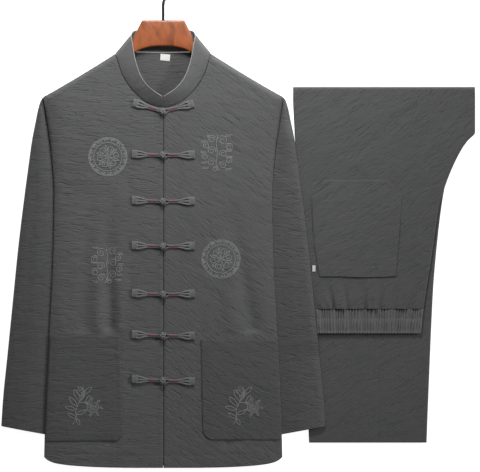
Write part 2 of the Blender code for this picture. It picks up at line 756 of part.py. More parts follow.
def add_block(name, size, place, turn, finish, frame):
    """A small box, given by its size, the middle of its underside and its turn about z."""
    w, d, h = size
    corners = [(-w / 2, -d / 2), (w / 2, -d / 2), (w / 2, d / 2), (-w / 2, d / 2)]
    rings = []
    for z in (0.0, h):
        rings.append(
            [
                (
                    place[0] + x * math.cos(turn) - y * math.sin(turn),
                    place[1] + x * math.sin(turn) + y * math.cos(turn),
                    place[2] + z,
                )
                for x, y in corners
            ]
        )
    return add_loft(name, rings, finish, frame)


def add_hanger(frame):
    """Flat wooden hanger with softened edges, and its wire hook."""
    right = [(p.x, p.y) for p in HANGER_OUTLINE]
    left = [(-p.x, p.y) for p in HANGER_OUTLINE[-2::-1]]
    outline = (right + left)[::-1]
    rings = [[(x, y, z) for x, y in outline] for z in (HANGER_BOTTOM, HANGER_BOTTOM + HANGER_THICKNESS)]
    wood = add_loft("hanger_wood", rings, WOOD, frame)
    edge = wood.modifiers.new("Soft edge", "BEVEL")
    edge.width = HANGER_EDGE * MM
    edge.segments = 2
    edge.limit_method = "ANGLE"
    edge.angle_limit = math.radians(60)
    add_hook(frame)


def hook_line():
    """Close points along the hook's route, on a smooth curve through the route's own points."""
    route = [Vector((p.x, p.y)) for p in HOOK_ROUTE]
    line = []
    for k in range(len(route) - 1):
        before, start, end = route[max(0, k - 1)], route[k], route[k + 1]
        after = route[min(len(route) - 1, k + 2)]
        for step in range(HOOK_STEPS):
            t = step / HOOK_STEPS
            line.append(
                0.5
                * (
                    2 * start
                    + (end - before) * t
                    + (2 * before - 5 * start + 4 * end - after) * t**2
                    + (3 * start - before - 3 * end + after) * t**3
                )
            )
    return line + [route[-1]]


def add_hook(frame):
    """The bent wire of the hook, standing in the middle of the wood's thickness."""
    line = hook_line()
    middle = HANGER_BOTTOM + HANGER_THICKNESS / 2
    rings = []
    for k, point in enumerate(line):
        run = (line[min(k + 1, len(line) - 1)] - line[max(k - 1, 0)]).normalized()
        across = Vector((run.y, -run.x))
        ring = []
        for side in range(HOOK_SIDES):
            angle = 2 * math.pi * side / HOOK_SIDES
            out = across * (HOOK_RADIUS * math.cos(angle))
            ring.append((point.x + out.x, point.y + out.y, middle + HOOK_RADIUS * math.sin(angle)))
        rings.append(ring)
    return add_loft("hanger_hook", rings, WIRE, frame, flip=True)


def edge_outline(table, low, high, inset_left, inset_right):
    """Outline of a folded stack between two heights, left edge up and right edge down, counter-clockwise."""
    levels = sorted({low, high, *(row.y for row in table if low < row.y < high)})
    right = [(read_curve(table, "right", y) - inset_right, y) for y in levels]
    left = [(read_curve(table, "left", y) + inset_left, y) for y in levels[::-1]]
    return right + left


def stack_rings(table, low, high, bottom):
    """Rings of a stack of hidden plies, notched between the plies all round its edge."""
    outer = edge_outline(table, low, high, SIDE_INSET, SIDE_INSET)
    notch = edge_outline(table, low + PLY_NOTCH, high - PLY_NOTCH, SIDE_INSET + PLY_NOTCH, SIDE_INSET + PLY_NOTCH)
    notch = notch if len(notch) == len(outer) else [
        (x, min(high - PLY_NOTCH, max(low + PLY_NOTCH, y))) for x, y in outer
    ]
    rings = []
    for ply in range(HIDDEN_PLIES):
        base = bottom + ply * PLY
        rings.append([(x, y, base + 0.1 * (ply > 0)) for x, y in outer])
        rings.append([(x, y, base + PLY - 0.3) for x, y in outer])
        if ply < HIDDEN_PLIES - 1:
            rings.append([(x, y, base + PLY - 0.1) for x, y in notch])
    return rings


def add_hidden_layers(frame):
    """The trousers' hidden plies: the legs' stack, the upper fold's stack and the turn that joins them."""
    lower = add_loft("trousers_layers", stack_rings(LOWER_LEGS, 44.6, 643.0, 0.0), LINEN, frame)
    upper_bottom = SEAT_TOP - CLOTH - SEAM - HIDDEN_PLIES * PLY
    upper_rings = stack_rings(UPPER_FOLD, 233.0, 643.0, upper_bottom)
    upper = add_loft("guide_upper_plies", upper_rings, LINEN, frame)
    turn_low, turn_high = 632.0, 648.4
    outline = edge_outline(UPPER_FOLD, turn_low, turn_high, SIDE_INSET + 1.0, SIDE_INSET + 1.0)
    turn_rings = [[(x, y, z) for x, y in outline] for z in (1.5, SEAT_TOP - CLOTH - SEAM - 0.5)]
    turn = add_loft("guide_turn", turn_rings, LINEN, frame)
    for guide in (upper, turn):
        guide.hide_render = True
        guide.display_type = "WIRE"
        join = lower.modifiers.new("Join " + guide.name, "BOOLEAN")
        join.operation = "UNION"
        join.object = guide
    return lower


def gather_height(share, y):
    """How far the gathers under the waistband lift the seat, share counted from its left edge."""
    fade = 1.0 - smooth_step(y, BAND_SEAM, BAND_SEAM + GATHER_REACH)
    ends = smooth_step(share, GATHER_HIDDEN_SHARE, 2 * GATHER_HIDDEN_SHARE) * (1.0 - smooth_step(share, 0.9, 1.0))
    lean = GATHER_LEAN * (1.0 - share) * (y - BAND_SEAM) / GATHER_REACH
    wave = 0.5 - 0.5 * math.cos(2 * math.pi * GATHERS * share + 2 * math.pi * lean)
    return GATHER_DEPTH * wave * fade * ends


def seat_point(share, y, z):
    """A point of the seat, share counted from its left edge, rolled down at both side folds."""
    left, right = read_curve(UPPER_FOLD, "left", y), read_curve(UPPER_FOLD, "right", y)
    x = left + (right - left) * share
    near = min(x - left, right - x)
    roll = (1.0 - min(1.0, near / SEAT_EDGE_ROLL)) ** 2
    return (x, y, z - 1.6 * roll)


def seat_shares():
    """Columns of the seat, even but for a close one inside each side fold."""
    even = [i / (SEAT_COLUMNS - 2) for i in range(SEAT_COLUMNS - 1)]
    return [0.0, 0.013] + even[1:-1] + [0.987, 1.0]


def add_seat(frame):
    """The seat and upper leg that show, from the waistband up and round the crosswise fold to the table."""
    shares = seat_shares()
    grid = []
    for y in (BAND_SEAM + SEAM + 0.2,) + SEAT_LEVELS:
        grid.append([seat_point(s, y, SEAT_TOP + gather_height(s, y)) for s in shares])
    radius = SEAT_TOP / 2
    for step in range(SEAT_FOLD_STEPS + 1):
        angle = math.pi * step / SEAT_FOLD_STEPS
        y = SEAT_FOLD_Y - radius + radius * math.sin(angle)
        z = radius + radius * math.cos(angle)
        grid.append([(seat_point(s, y, z)[0], y, z) for s in shares])
    grid.append([(seat_point(s, SEAT_FOLD_END, 0.0)[0], SEAT_FOLD_END, 0.0) for s in shares])
    add_panel("trousers_seat", grid, LINEN, frame)
    verts = [Vector(p) for row in grid[: len(SEAT_LEVELS)] for p in row]
    return BVHTree.FromPolygons(verts, grid_faces(len(SEAT_LEVELS), len(shares)))


def add_lower_leg(frame):
    """The leg that shows below the upper fold, open and doubled at its hem."""
    levels = (43.0, 43.0 + LEG_HEM, 43.0 + LEG_HEM + 1.5, 110, 160, 210, 260, 330, 400, 460, 500, 530, 556, 576, LOWER_LEG_END)
    grid = []
    for y in levels:
        left, right = read_curve(LOWER_LEGS, "left", y), read_curve(LOWER_LEGS, "right", y)
        doubled = HEM_DOUBLING if y <= 43.0 + LEG_HEM else 0.0
        row = []
        for share in (0.0, 0.02, 0.2, 0.4, 0.6, 0.8, 0.98, 1.0):
            roll = 1.4 if share in (0.0, 1.0) else 0.0
            row.append((left + (right - left) * share, y, LOWER_LEG_TOP + doubled - roll))
        grid.append(row)
    return add_panel("trousers_lower_leg", grid, LINEN, frame)


def add_waistband(frame):
    """The elastic waistband: a plain inside under a top raised in close ruffles."""
    columns = 2 * RUFFLES
    top, bottom = [], []
    for row in RUFFLE_ROWS[::-1]:
        y = BAND_SEAM + (BAND_END - BAND_SEAM) * row.share
        left, right = read_curve(UPPER_FOLD, "left", y), read_curve(UPPER_FOLD, "right", y)
        points = []
        for i in range(columns + 1):
            crest = row.depth if i % 2 else 0.0
            points.append((left + (right - left) * i / columns, y, BAND_TOP + crest))
        top.append(points)
        if row.share in (0.0, 1.0):
            bottom.append([(x, y, BAND_BOTTOM) for x, y, _ in points])
    return add_two_sided("trousers_waistband", top, bottom, LINEN, frame)


def add_trouser_pocket(tree, frame):
    """Patch pocket on the seat, with the blank tab sewn into its side."""
    grid = []
    for row in TROUSER_POCKET:
        points = []
        for share in (0.0, 0.12, 0.26, 0.4, 0.54, 0.68, 0.82, 1.0):
            x = row.left + (row.right - row.left) * share
            points.append((x, row.y, surface_height(tree, x, row.y, 3.0) + LAID_ON + CLOTH))
        grid.append(points)
    add_panel("trousers_pocket", grid, LINEN, frame)
    w, d, h = TAB_SIZE
    x, y = TAB_LOW[0] - w / 2, TAB_LOW[1] + d / 2
    place = (x, y, surface_height(tree, x, y, 4.0) + LAID_ON)
    add_block("trousers_pocket_tab", (w, d, h), place, 0.0, TAPE, frame)


def add_jacket(frame):
    """Every piece of the jacket, from the table up."""
    add_back(frame)
    add_sleeve(-1, "jacket_sleeve_right", frame)
    add_sleeve(1, "jacket_sleeve_left", frame)
    fronts = add_fronts(frame)
    add_collar(frame)
    add_jacket_pockets(fronts, frame)
    add_frogs(fronts, frame)
    label_place = (*LABEL_CENTRE, CLOTH + SEAM)
    add_block("jacket_neck_label", LABEL_SIZE, label_place, LABEL_TURN, TAPE, frame)


def add_trousers(frame):
    """Every piece of the folded trousers, from the table up."""
    add_hidden_layers(frame)
    add_lower_leg(frame)
    seat = add_seat(frame)
    add_waistband(frame)
    add_trouser_pocket(seat, frame)


def main():
    """Build the set about the frame's origin."""
    clear_scene()
    frame = bpy.data.objects.new("layout", None)
    bpy.context.scene.collection.objects.link(frame)
    frame.location = (-SET_CENTRE[0] * MM, -SET_CENTRE[1] * MM, 0.0)
    add_jacket(frame)
    add_hanger(frame)
    add_trousers(frame)


main()
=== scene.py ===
"""Look of a tai chi uniform laid flat: stand-collar jacket on a wooden hanger, its folded trousers beside it.

Lengths in the tables are millimetres of the layout: x across from the centre front, y up from the lowest
point of the jacket's hem, z up from the table. The wearer's right half of the jacket has negative x.
"""

import logging
import math
from dataclasses import dataclass, field
from enum import Enum
from typing import Callable, Sequence

import bpy
import numpy as np
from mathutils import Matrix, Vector


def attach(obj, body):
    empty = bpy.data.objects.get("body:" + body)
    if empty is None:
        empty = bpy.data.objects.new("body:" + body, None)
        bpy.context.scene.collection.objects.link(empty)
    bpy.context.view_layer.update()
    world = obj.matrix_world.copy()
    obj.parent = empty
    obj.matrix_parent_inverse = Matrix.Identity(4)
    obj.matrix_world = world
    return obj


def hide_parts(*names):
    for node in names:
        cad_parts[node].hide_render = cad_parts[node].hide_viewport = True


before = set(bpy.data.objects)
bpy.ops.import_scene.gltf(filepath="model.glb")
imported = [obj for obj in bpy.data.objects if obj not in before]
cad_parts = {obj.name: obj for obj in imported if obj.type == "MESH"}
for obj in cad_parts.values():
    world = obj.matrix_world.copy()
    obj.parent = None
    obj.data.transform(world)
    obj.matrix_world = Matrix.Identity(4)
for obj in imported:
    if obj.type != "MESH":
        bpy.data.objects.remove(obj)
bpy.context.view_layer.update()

LOG = logging.getLogger("uniform")
MM = 0.001
LAYOUT_CENTRE = (128.6, 421.25)
WEAVE_STEP = 2.4
SHOULDER_HALF = 205.5
POCKET_SHARE = 0.992
POCKET_MOUTH, POCKET_END = 328.0, 494.5
CLOTH = 1.0
Array = np.ndarray


class Side(Enum):
    """Halves of the jacket, as its wearer has them."""

    RIGHT = -1
    LEFT = 1


def smooth_step(value: Array | float, low: float, high: float) -> Array:
    """Rise from 0 at low to 1 at high on an even S.

    Args:
        value: where to read the step.
        low: place where it starts.
        high: place where it is whole.

    Returns:
        The step at each value.
    """
    share = np.clip((np.asarray(value, float) - low) / (high - low), 0.0, 1.0)
    return share * share * (3.0 - 2.0 * share)


def dent(away: Array, width: float) -> Array:
    """A soft bell, 1 on the line and nearly 0 two widths away from it."""
    return np.exp(-((np.asarray(away, float) / width) ** 2))


class SmoothCurve:
    """A curve through rows of numbers that never overshoots them."""

    def __init__(self, rows: Sequence[Sequence[float]], column: int = 1) -> None:
        """Fit the curve.

        Args:
            rows: rows whose first number is the key, in rising order.
            column: which number of a row is the value.
        """
        self.keys = np.array([row[0] for row in rows], float)
        self.values = np.array([row[column] for row in rows], float)
        slopes = np.diff(self.values) / np.diff(self.keys)
        inner = slopes[:-1] * slopes[1:] > 0
        safe = np.where(inner, slopes[:-1] + slopes[1:], 1.0)
        middle = np.where(inner, 2.0 * slopes[:-1] * slopes[1:] / safe, 0.0)
        self.tangents = np.concatenate([slopes[:1], middle, slopes[-1:]])

    def __call__(self, at: Array | float) -> Array:
        """Value at each place, level beyond both ends."""
        at = np.clip(np.asarray(at, float), self.keys[0], self.keys[-1])
        k = np.clip(np.searchsorted(self.keys, at, side="right") - 1, 0, len(self.keys) - 2)
        span = self.keys[k + 1] - self.keys[k]
        t = (at - self.keys[k]) / span
        return (
            (2 * t**3 - 3 * t**2 + 1) * self.values[k]
            + (t**3 - 2 * t**2 + t) * self.tangents[k] * span
            + (3 * t**2 - 2 * t**3) * self.values[k + 1]
            + (t**3 - t**2) * self.tangents[k + 1] * span
        )


def smooth_noise(x: Array, y: Array, seed: int) -> Array:
    """Even noise from -1 to 1 on a grid of unit cells, the same on every run.

    Args:
        x: places across, in cells.
        y: places up, in cells.
        seed: which of the many noises to read.

    Returns:
        The noise at each place.
    """
    column, row = np.floor(x).astype(np.int64), np.floor(y).astype(np.int64)
    s, t = x - column, y - row
    s, t = s * s * s * (s * (6 * s - 15) + 10), t * t * t * (t * (6 * t - 15) + 10)

    def corner(i: Array, j: Array) -> Array:
        """Random height of a cell's corner."""
        h = (i * 374761393 + j * 668265263 + seed * 974634777) & 0xFFFFFFFF
        h = ((h ^ (h >> 13)) * 1274126177) & 0xFFFFFFFF
        return ((h ^ (h >> 16)) & 0xFFFF) / 32767.5 - 1.0

    low = corner(column, row) * (1 - s) + corner(column + 1, row) * s
    high = corner(column, row + 1) * (1 - s) + corner(column + 1, row + 1) * s
    return low * (1 - t) + high * t


@dataclass(frozen=True)
class Crepe:
    """Fine wavy crinkle woven into the cloth of one panel.

    The crinkle runs in short wavy ridges: tilt turns them from level, in degrees, and depth is their height.
    """

    tilt: float
    depth: float
    seed: int
    along: float = 30.0
    across: float = 7.0

    def height(self, x: Array, y: Array) -> Array:
        """Height of the crinkle at each place, in millimetres."""
        turn = math.radians(self.tilt)
        u = x * math.cos(turn) + y * math.sin(turn)
        v = y * math.cos(turn) - x * math.sin(turn)
        v = v + 5.0 * smooth_noise(x / 34.0, y / 34.0, self.seed + 1)
        broad = smooth_noise(u / self.along, v / self.across, self.seed + 2)
        fine = smooth_noise(u / (self.along * 0.45), v / (self.across * 0.55), self.seed + 3)
        patch = 0.65 + 0.35 * smooth_noise(x / 70.0, y / 70.0, self.seed + 4)
        ridged = 1.0 - 2.0 * np.abs(fine)
        return self.depth * patch * (0.6 * broad + 0.4 * ridged)


class Socket:
    """A node's output that Python's operators do sums on."""

    def __init__(self, shader: "Shader", link: bpy.types.NodeSocket) -> None:
        """Hold an output of a shader's node."""
        self.shader = shader
        self.link = link

    def math(self, operation: str, other: "Socket | float", turned: bool = False) -> "Socket":
        """Add one Math node.

        Args:
            operation: the Math node's operation.
            other: the second operand.
            turned: whether this socket is the second operand.

        Returns:
            The node's value.
        """
        pair = (other, self) if turned else (self, other)
        return self.shader.node("ShaderNodeMath", {"operation": operation}, {0: pair[0], 1: pair[1]})

    def __add__(self, other: "Socket | float") -> "Socket":
        """Sum."""
        return self.math("ADD", other)

    def __radd__(self, other: float) -> "Socket":
        """Sum with a number first."""
        return self.math("ADD", other, True)

    def __sub__(self, other: "Socket | float") -> "Socket":
        """Difference."""
        return self.math("SUBTRACT", other)

    def __rsub__(self, other: float) -> "Socket":
        """Difference from a number."""
        return self.math("SUBTRACT", other, True)

    def __mul__(self, other: "Socket | float") -> "Socket":
        """Product."""
        return self.math("MULTIPLY", other)

    def __rmul__(self, other: float) -> "Socket":
        """Product with a number first."""
        return self.math("MULTIPLY", other, True)

    def __pow__(self, other: float) -> "Socket":
        """Power."""
        return self.math("POWER", other)

    def __abs__(self) -> "Socket":
        """Size without its sign."""
        return self.shader.node("ShaderNodeMath", {"operation": "ABSOLUTE"}, {0: self})


Value = Socket | float | tuple


class Shader:
    """One material's node tree, and the only place that adds nodes to it."""

    def __init__(self, name: str) -> None:
        """Start a material that holds its Principled shader alone."""
        self.material = bpy.data.materials.new(name)
        self.material.use_nodes = True
        self.tree = self.material.node_tree
        self.surface = self.tree.nodes["Principled BSDF"]

    def node(self, kind: str, settings: dict, inputs: dict, output: int | str = 0) -> Socket:
        """Add a node.

        Args:
            kind: the node's type.
            settings: its own settings, set before its sockets.
            inputs: value or link of each socket, by name or number.
            output: which output to give back.

        Returns:
            That output.
        """
        made = self.tree.nodes.new(kind)
        for key, value in settings.items():
            if key == "stops":
                self.set_stops(made, value)
            else:
                setattr(made, key, value)
        for key, value in inputs.items():
            self.feed(made.inputs[key], value)
        return Socket(self, made.outputs[output])

    def set_stops(self, ramp: bpy.types.Node, stops: Sequence[tuple[float, tuple]]) -> None:
        """Set a colour ramp's stops."""
        elements = ramp.color_ramp.elements
        while len(elements) < len(stops):
            elements.new(0.5)
        for element, (place, colour) in zip(elements, stops):
            element.position = place
            element.color = (*colour, 1.0)

    def feed(self, socket: bpy.types.NodeSocket, value: Value) -> None:
        """Link a socket, or set its number, colour or vector."""
        if isinstance(value, Socket):
            self.tree.links.new(value.link, socket)
        elif isinstance(value, tuple) and socket.type == "RGBA":
            socket.default_value = (*value, 1.0)
        else:
            socket.default_value = value

    def place(self, scale: tuple, turn: float = 0.0) -> Socket:
        """Object coordinates, turned about z by degrees and then scaled."""
        at = self.node("ShaderNodeTexCoord", {}, {}, "Object")
        if turn:
            at = self.node("ShaderNodeMapping", {}, {"Vector": at, "Rotation": (0, 0, math.radians(-turn))})
        return self.node("ShaderNodeMapping", {}, {"Vector": at, "Scale": scale})

    def noise(self, at: Socket, scale: float = 1.0, detail: float = 2.0, twist: float = 0.0) -> Socket:
        """Noise value of a place."""
        sockets = {"Vector": at, "Scale": scale, "Detail": detail, "Distortion": twist}
        return self.node("ShaderNodeTexNoise", {}, sockets)

    def blend(self, share: Value, first: Value, second: Value) -> Socket:
        """Mix two colours."""
        settings = {"data_type": "RGBA"}
        return self.node("ShaderNodeMix", settings, {0: share, 6: first, 7: second}, 2)

    def bump(self, height: Socket, distance: float, strength: float = 1.0) -> Socket:
        """Normal of a height, distance being its full depth in metres."""
        sockets = {"Height": height, "Distance": distance, "Strength": strength}
        return self.node("ShaderNodeBump", {}, sockets)

    def finish(self, **sockets: Value) -> bpy.types.Material:
        """Set the Principled shader's sockets, named with _ for each space, and give the material."""
        for key, value in sockets.items():
            self.feed(self.surface.inputs[key.replace("_", " ")], value)
        return self.material


@dataclass(frozen=True)
class Linen:
    """Crinkled linen-like cloth."""

    name: str
    colour: tuple = (0.102, 0.104, 0.103)
    tilt: float = 0.0
    crinkle: float = 1.0
    thread_pitch: float = 0.0011

    def material(self) -> bpy.types.Material:
        """Weave, slubs, fine crinkle and a little unevenness of the dye; the crinkle ridges also get a painted
        highlight.
        """
        shader = Shader(self.name)
        crinkled = shader.noise(shader.place((46.0, 250.0, 46.0), self.tilt), 1.0, 3.0, 0.9)
        ridge = 1.0 - abs(crinkled * 2.0 - 1.0)
        slub = shader.noise(shader.place((34.0, 900.0, 34.0), self.tilt * 0.3), 1.0, 2.0)
        cloud = shader.noise(shader.place((1.0, 1.0, 1.0)), 9.0, 2.0)
        scale = 0.314 / self.thread_pitch
        bands = {"wave_type": "BANDS", "wave_profile": "SIN"}
        woven = {"Vector": shader.place((1.0, 1.0, 1.0)), "Scale": scale, "Distortion": 1.4, "Detail": 1.0}
        warp = shader.node("ShaderNodeTexWave", {**bands, "bands_direction": "X"}, woven, 1)
        weft = shader.node("ShaderNodeTexWave", {**bands, "bands_direction": "Y"}, woven, 1)
        weave = warp * 0.5 + weft * 0.5
        # Colour: slubs and dye clouds are the cloth's own; the ridge share is a painted highlight on the raised
        # crinkle ridges and painted shade in their troughs.
        slub_dye_and_ridge_light = slub * 0.5 + cloud * 0.3 + ridge * 0.2
        dark = tuple(c * 0.72 for c in self.colour)
        light = tuple(c * 1.3 for c in self.colour)
        height = crinkled * 0.5 + ridge * 0.4 + slub * 0.2 + weave * 0.08
        return shader.finish(
            Base_Color=shader.blend(slub_dye_and_ridge_light, dark, light),
            Roughness=0.84 + cloud * 0.12,
            Specular_IOR_Level=0.28,
            Sheen_Weight=0.12,
            Sheen_Roughness=0.6,
            Normal=shader.bump(height, 0.0034 * self.crinkle),
        )


@dataclass(frozen=True)
class Thread:
    """Twisted sewing, embroidery or binding thread."""

    name: str
    colour: tuple
    roughness: float = 0.55
    twist_pitch: float = 0.0008

    def material(self) -> bpy.types.Material:
        """Twist ridges, painted lighter as a painted highlight, and a slight change of colour along the thread.
        """
        shader = Shader(self.name)
        bands = {"wave_type": "BANDS", "bands_direction": "DIAGONAL"}
        at = {"Vector": shader.place((1.0, 1.0, 1.0)), "Scale": 0.314 / self.twist_pitch, "Distortion": 0.5}
        twist = shader.node("ShaderNodeTexWave", bands, at, 1)
        speck = shader.noise(shader.place((1.0, 1.0, 1.0)), 420.0)
        dark = tuple(c * 0.78 for c in self.colour)
        light = tuple(min(1.0, c * 1.18) for c in self.colour)
        return shader.finish(
            # Specks are the thread's own colour; the twist share is a painted highlight on the raised twists.
            Base_Color=shader.blend(speck * 0.6 + twist * 0.4, dark, light),
            Roughness=self.roughness + twist * 0.1,
            Sheen_Weight=0.2,
            Normal=shader.bump(twist, 0.00022),
        )


@dataclass(frozen=True)
class Mahogany:
    """Red-brown stained wood under gloss varnish."""

    name: str = "varnished_mahogany"
    dark: tuple = (0.05, 0.009, 0.004)
    light: tuple = (0.34, 0.082, 0.014)

    def material(self) -> bpy.types.Material:
        """Long grain with pores under the varnish, and faint wear of the gloss."""
        shader = Shader(self.name)
        grain = shader.noise(shader.place((40.0, 9.0, 30.0), 12.0), 1.0, 5.0, 1.4)
        flame = shader.noise(shader.place((26.0, 16.0, 20.0)), 1.0, 2.0, 1.6)
        pores = shader.noise(shader.place((900.0, 60.0, 700.0), 12.0), 1.0, 2.0)
        tone = grain * 0.55 + flame * 0.45
        stops = [(0.3, self.dark), (0.52, self.light), (0.72, tuple(c * 0.45 for c in self.light))]
        colour = shader.node("ShaderNodeValToRGB", {"stops": stops}, {0: tone})
        wear = shader.noise(shader.place((1.0, 1.0, 1.0)), 60.0, 3.0)
        return shader.finish(
            Base_Color=colour,
            Roughness=0.42 + wear * 0.16,
            Coat_Weight=0.35 + wear * 0.2,
            Coat_Roughness=0.2,
            Normal=shader.bump(pores * 0.6 + grain * 0.4, 0.00012),
        )


@dataclass(frozen=True)
class Wire:
    """Bent steel wire with a black gloss coat."""

    name: str = "black_hook_wire"
    colour: tuple = (0.011, 0.011, 0.012)

    def material(self) -> bpy.types.Material:
        """Gloss paint with a few dull scuffs."""
        shader = Shader(self.name)
        scuff = shader.noise(shader.place((1.0, 1.0, 1.0)), 240.0, 4.0)
        pale = tuple(c * 2.6 for c in self.colour)
        return shader.finish(
            Base_Color=shader.blend(scuff**3.0, self.colour, pale),
            Roughness=0.2 + scuff * 0.25,
            Metallic=0.35,
            Normal=shader.bump(scuff, 0.00005),
        )


@dataclass(frozen=True)
class Tape:
    """White woven tape."""

    name: str = "white_label_tape"
    colour: tuple = (0.78, 0.78, 0.76)

    def material(self) -> bpy.types.Material:
        """Fine rib of the tape."""
        shader = Shader(self.name)
        bands = {"wave_type": "BANDS", "bands_direction": "Y"}
        inputs = {"Vector": shader.place((1.0, 1.0, 1.0)), "Scale": 520.0}
        rib = shader.node("ShaderNodeTexWave", bands, inputs, 1)
        spot = shader.noise(shader.place((1.0, 1.0, 1.0)), 300.0)
        return shader.finish(
            Base_Color=shader.blend(spot * 0.4 + rib * 0.2, self.colour, (0.6, 0.6, 0.58)),
            Roughness=0.75 + rib * 0.1,
            Normal=shader.bump(rib, 0.0001),
        )


@dataclass(frozen=True)
class Paper:
    """Pale studio floor."""

    name: str = "studio_floor"

    def material(self) -> bpy.types.Material:
        """Matte white with hardly visible mottling."""
        shader = Shader(self.name)
        mottle = shader.noise(shader.place((1.0, 1.0, 1.0)), 40.0)
        return shader.finish(
            Base_Color=shader.blend(mottle, (0.9, 0.9, 0.9), (0.94, 0.94, 0.94)),
            Roughness=0.9,
            Emission_Color=(1.0, 1.0, 1.0),
            Emission_Strength=0.85,
        )


class Workroom:
    """Turns grids and paths of layout points into finished pieces, and keeps each material once."""

    def __init__(self) -> None:
        """Start with no materials."""
        self.made: dict[str, bpy.types.Material] = {}

    def material(self, finish: "Linen | Thread | Mahogany | Wire | Tape | Paper") -> bpy.types.Material:
        """A finish's material, built the first time that it is asked for."""
        if finish.name not in self.made:
            self.made[finish.name] = finish.material()
        return self.made[finish.name]

    def piece(
        self,
        name: str,
        points: Array,
        faces: Array | Sequence[Sequence[int]],
        finishes: Sequence,
        slot: str,
        finish_of: Array | None = None,
        sharp: float = 60.0,
    ) -> bpy.types.Object:
        """slot: the record's material slot; not used.
            finish_of: which finish each face has, where there are several.
            sharp: angle over which an edge stays sharp, in degrees.

        Returns:
            The object, riding with the part.
        """
        world = (np.asarray(points, float) - (*LAYOUT_CENTRE, 0.0)) * MM
        mesh = bpy.data.meshes.new(name)
        mesh.from_pydata(world.tolist(), [], [list(map(int, f)) for f in faces])
        mesh.validate()
        mesh.shade_smooth()
        mesh.set_sharp_from_angle(angle=math.radians(sharp))
        for finish in finishes:
            mesh.materials.append(self.material(finish))
        if finish_of is not None:
            mesh.polygons.foreach_set("material_index", np.asarray(finish_of, np.int32))
        made = bpy.data.objects.new(name, mesh)
        bpy.context.scene.collection.objects.link(made)
        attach(made, "root")
        LOG.info("%s: %d faces", name, len(mesh.polygons))
        return made

    def cloth(
        self,
        name: str,
        grid: tuple[Array, Array, Array],
        finish: Linen,
        flip: bool = False,
        closed: bool = False,
        wall: float = CLOTH,
        slot: str = "linen",
    ) -> bpy.types.Object:
        """Make a panel of cloth from a grid of points on its outer side.

        Args:
            name: the piece's name.
            grid: x, y and z of the points, rows up and columns across.
            finish: its cloth.
            flip: whether the grid's outer side looks the other way.
            closed: whether the last column joins the first.
            wall: the cloth's thickness.
            slot: the record's material slot.

        Returns:
            The panel, with a wall behind its outer side.
        """
        rows, columns = grid[0].shape
        points = np.stack(grid, -1).reshape(-1, 3)
        j, i = np.meshgrid(np.arange(rows - 1), np.arange(columns if closed else columns - 1), indexing="ij")
        n = (i + 1) % columns
        corners = [j * columns + i, j * columns + n, (j + 1) * columns + n, (j + 1) * columns + i]
        faces = np.stack(corners[::-1] if flip else corners, -1).reshape(-1, 4)
        made = self.piece(name, points, faces, [finish], slot)
        shell = made.modifiers.new("Wall", "SOLIDIFY")
        shell.thickness = wall * MM
        shell.offset = -1.0
        shell.use_even_offset = False
        return made

    def tube(
        self, path: Array, radius: Array | float, sides: int = 6, flat: float = 1.0
    ) -> tuple[Array, Array]:
        """Points and faces of a capped tube.

        Args:
            path: points of its middle line.
            radius: its radius, or one for each point.
            sides: corners of its section.
            flat: height of its section as a share of its width.

        Returns:
            The tube's points and faces; the caps are quads and triangles that fan from the last corner.
        """
        path = np.asarray(path, float)
        run = np.gradient(path, axis=0)
        run /= np.maximum(np.linalg.norm(run, axis=1, keepdims=True), 1e-9)
        up = np.zeros_like(run)
        up[:, 2] = 1.0
        steep = np.abs(run[:, 2]) > 0.95
        up[steep] = (0.0, 1.0, 0.0)
        across = np.cross(run, up)
        across /= np.linalg.norm(across, axis=1, keepdims=True)
        over = np.cross(across, run)
        angle = np.arange(sides) * 2 * math.pi / sides
        size = np.broadcast_to(np.asarray(radius, float), (len(path),))[:, None, None]
        cosine, sine = np.cos(angle)[None, :, None], np.sin(angle)[None, :, None]
        ring = across[:, None] * cosine + over[:, None] * sine * flat
        points = (path[:, None] + ring * size).reshape(-1, 3)
        faces = []
        for k in range(len(path) - 1):
            for s in range(sides):
                a, b = k * sides + s, k * sides + (s + 1) % sides
                faces.append((a, b, b + sides, a + sides))
        last = (len(path) - 1) * sides
        for s in range(1, sides - 1):
            faces.append((0, s + 1, s, s))
            faces.append((last, last + s, last + s + 1, last + s + 1))
        return points, np.array(faces)

    def bundle(
        self, name: str, tubes: Sequence[tuple[Array, Array, int]], finishes: Sequence, slot: str
    ) -> bpy.types.Object:
        """Join tubes into one piece.

        Args:
            name: the piece's name.
            tubes: points, faces and finish number of each.
            finishes: the piece's finishes.
            slot: the record's material slot.

        Returns:
            The piece.
        """
        points, faces, finish_of, count = [], [], [], 0
        for tube_points, tube_faces, number in tubes:
            points.append(tube_points)
            for face in tube_faces + count:
                faces.append(list(dict.fromkeys(face.tolist())))
                finish_of.append(number)
            count += len(tube_points)
        return self.piece(name, np.concatenate(points), faces, finishes, slot, np.array(finish_of))


def resample(path: Sequence[Sequence[float]], step: float) -> Array:
    """Points at even steps along a polyline.

    Args:
        path: the polyline's corners, in two or three dimensions.
        step: distance between points.

    Returns:
        The points, both ends included.
    """
    corners = np.asarray(path, float)
    runs = np.linalg.norm(np.diff(corners, axis=0), axis=1)
    along = np.concatenate([[0.0], np.cumsum(runs)])
    count = max(2, int(round(along[-1] / step)) + 1)
    at = np.linspace(0.0, along[-1], count)
    return np.stack([np.interp(at, along, corners[:, k]) for k in range(corners.shape[1])], -1)


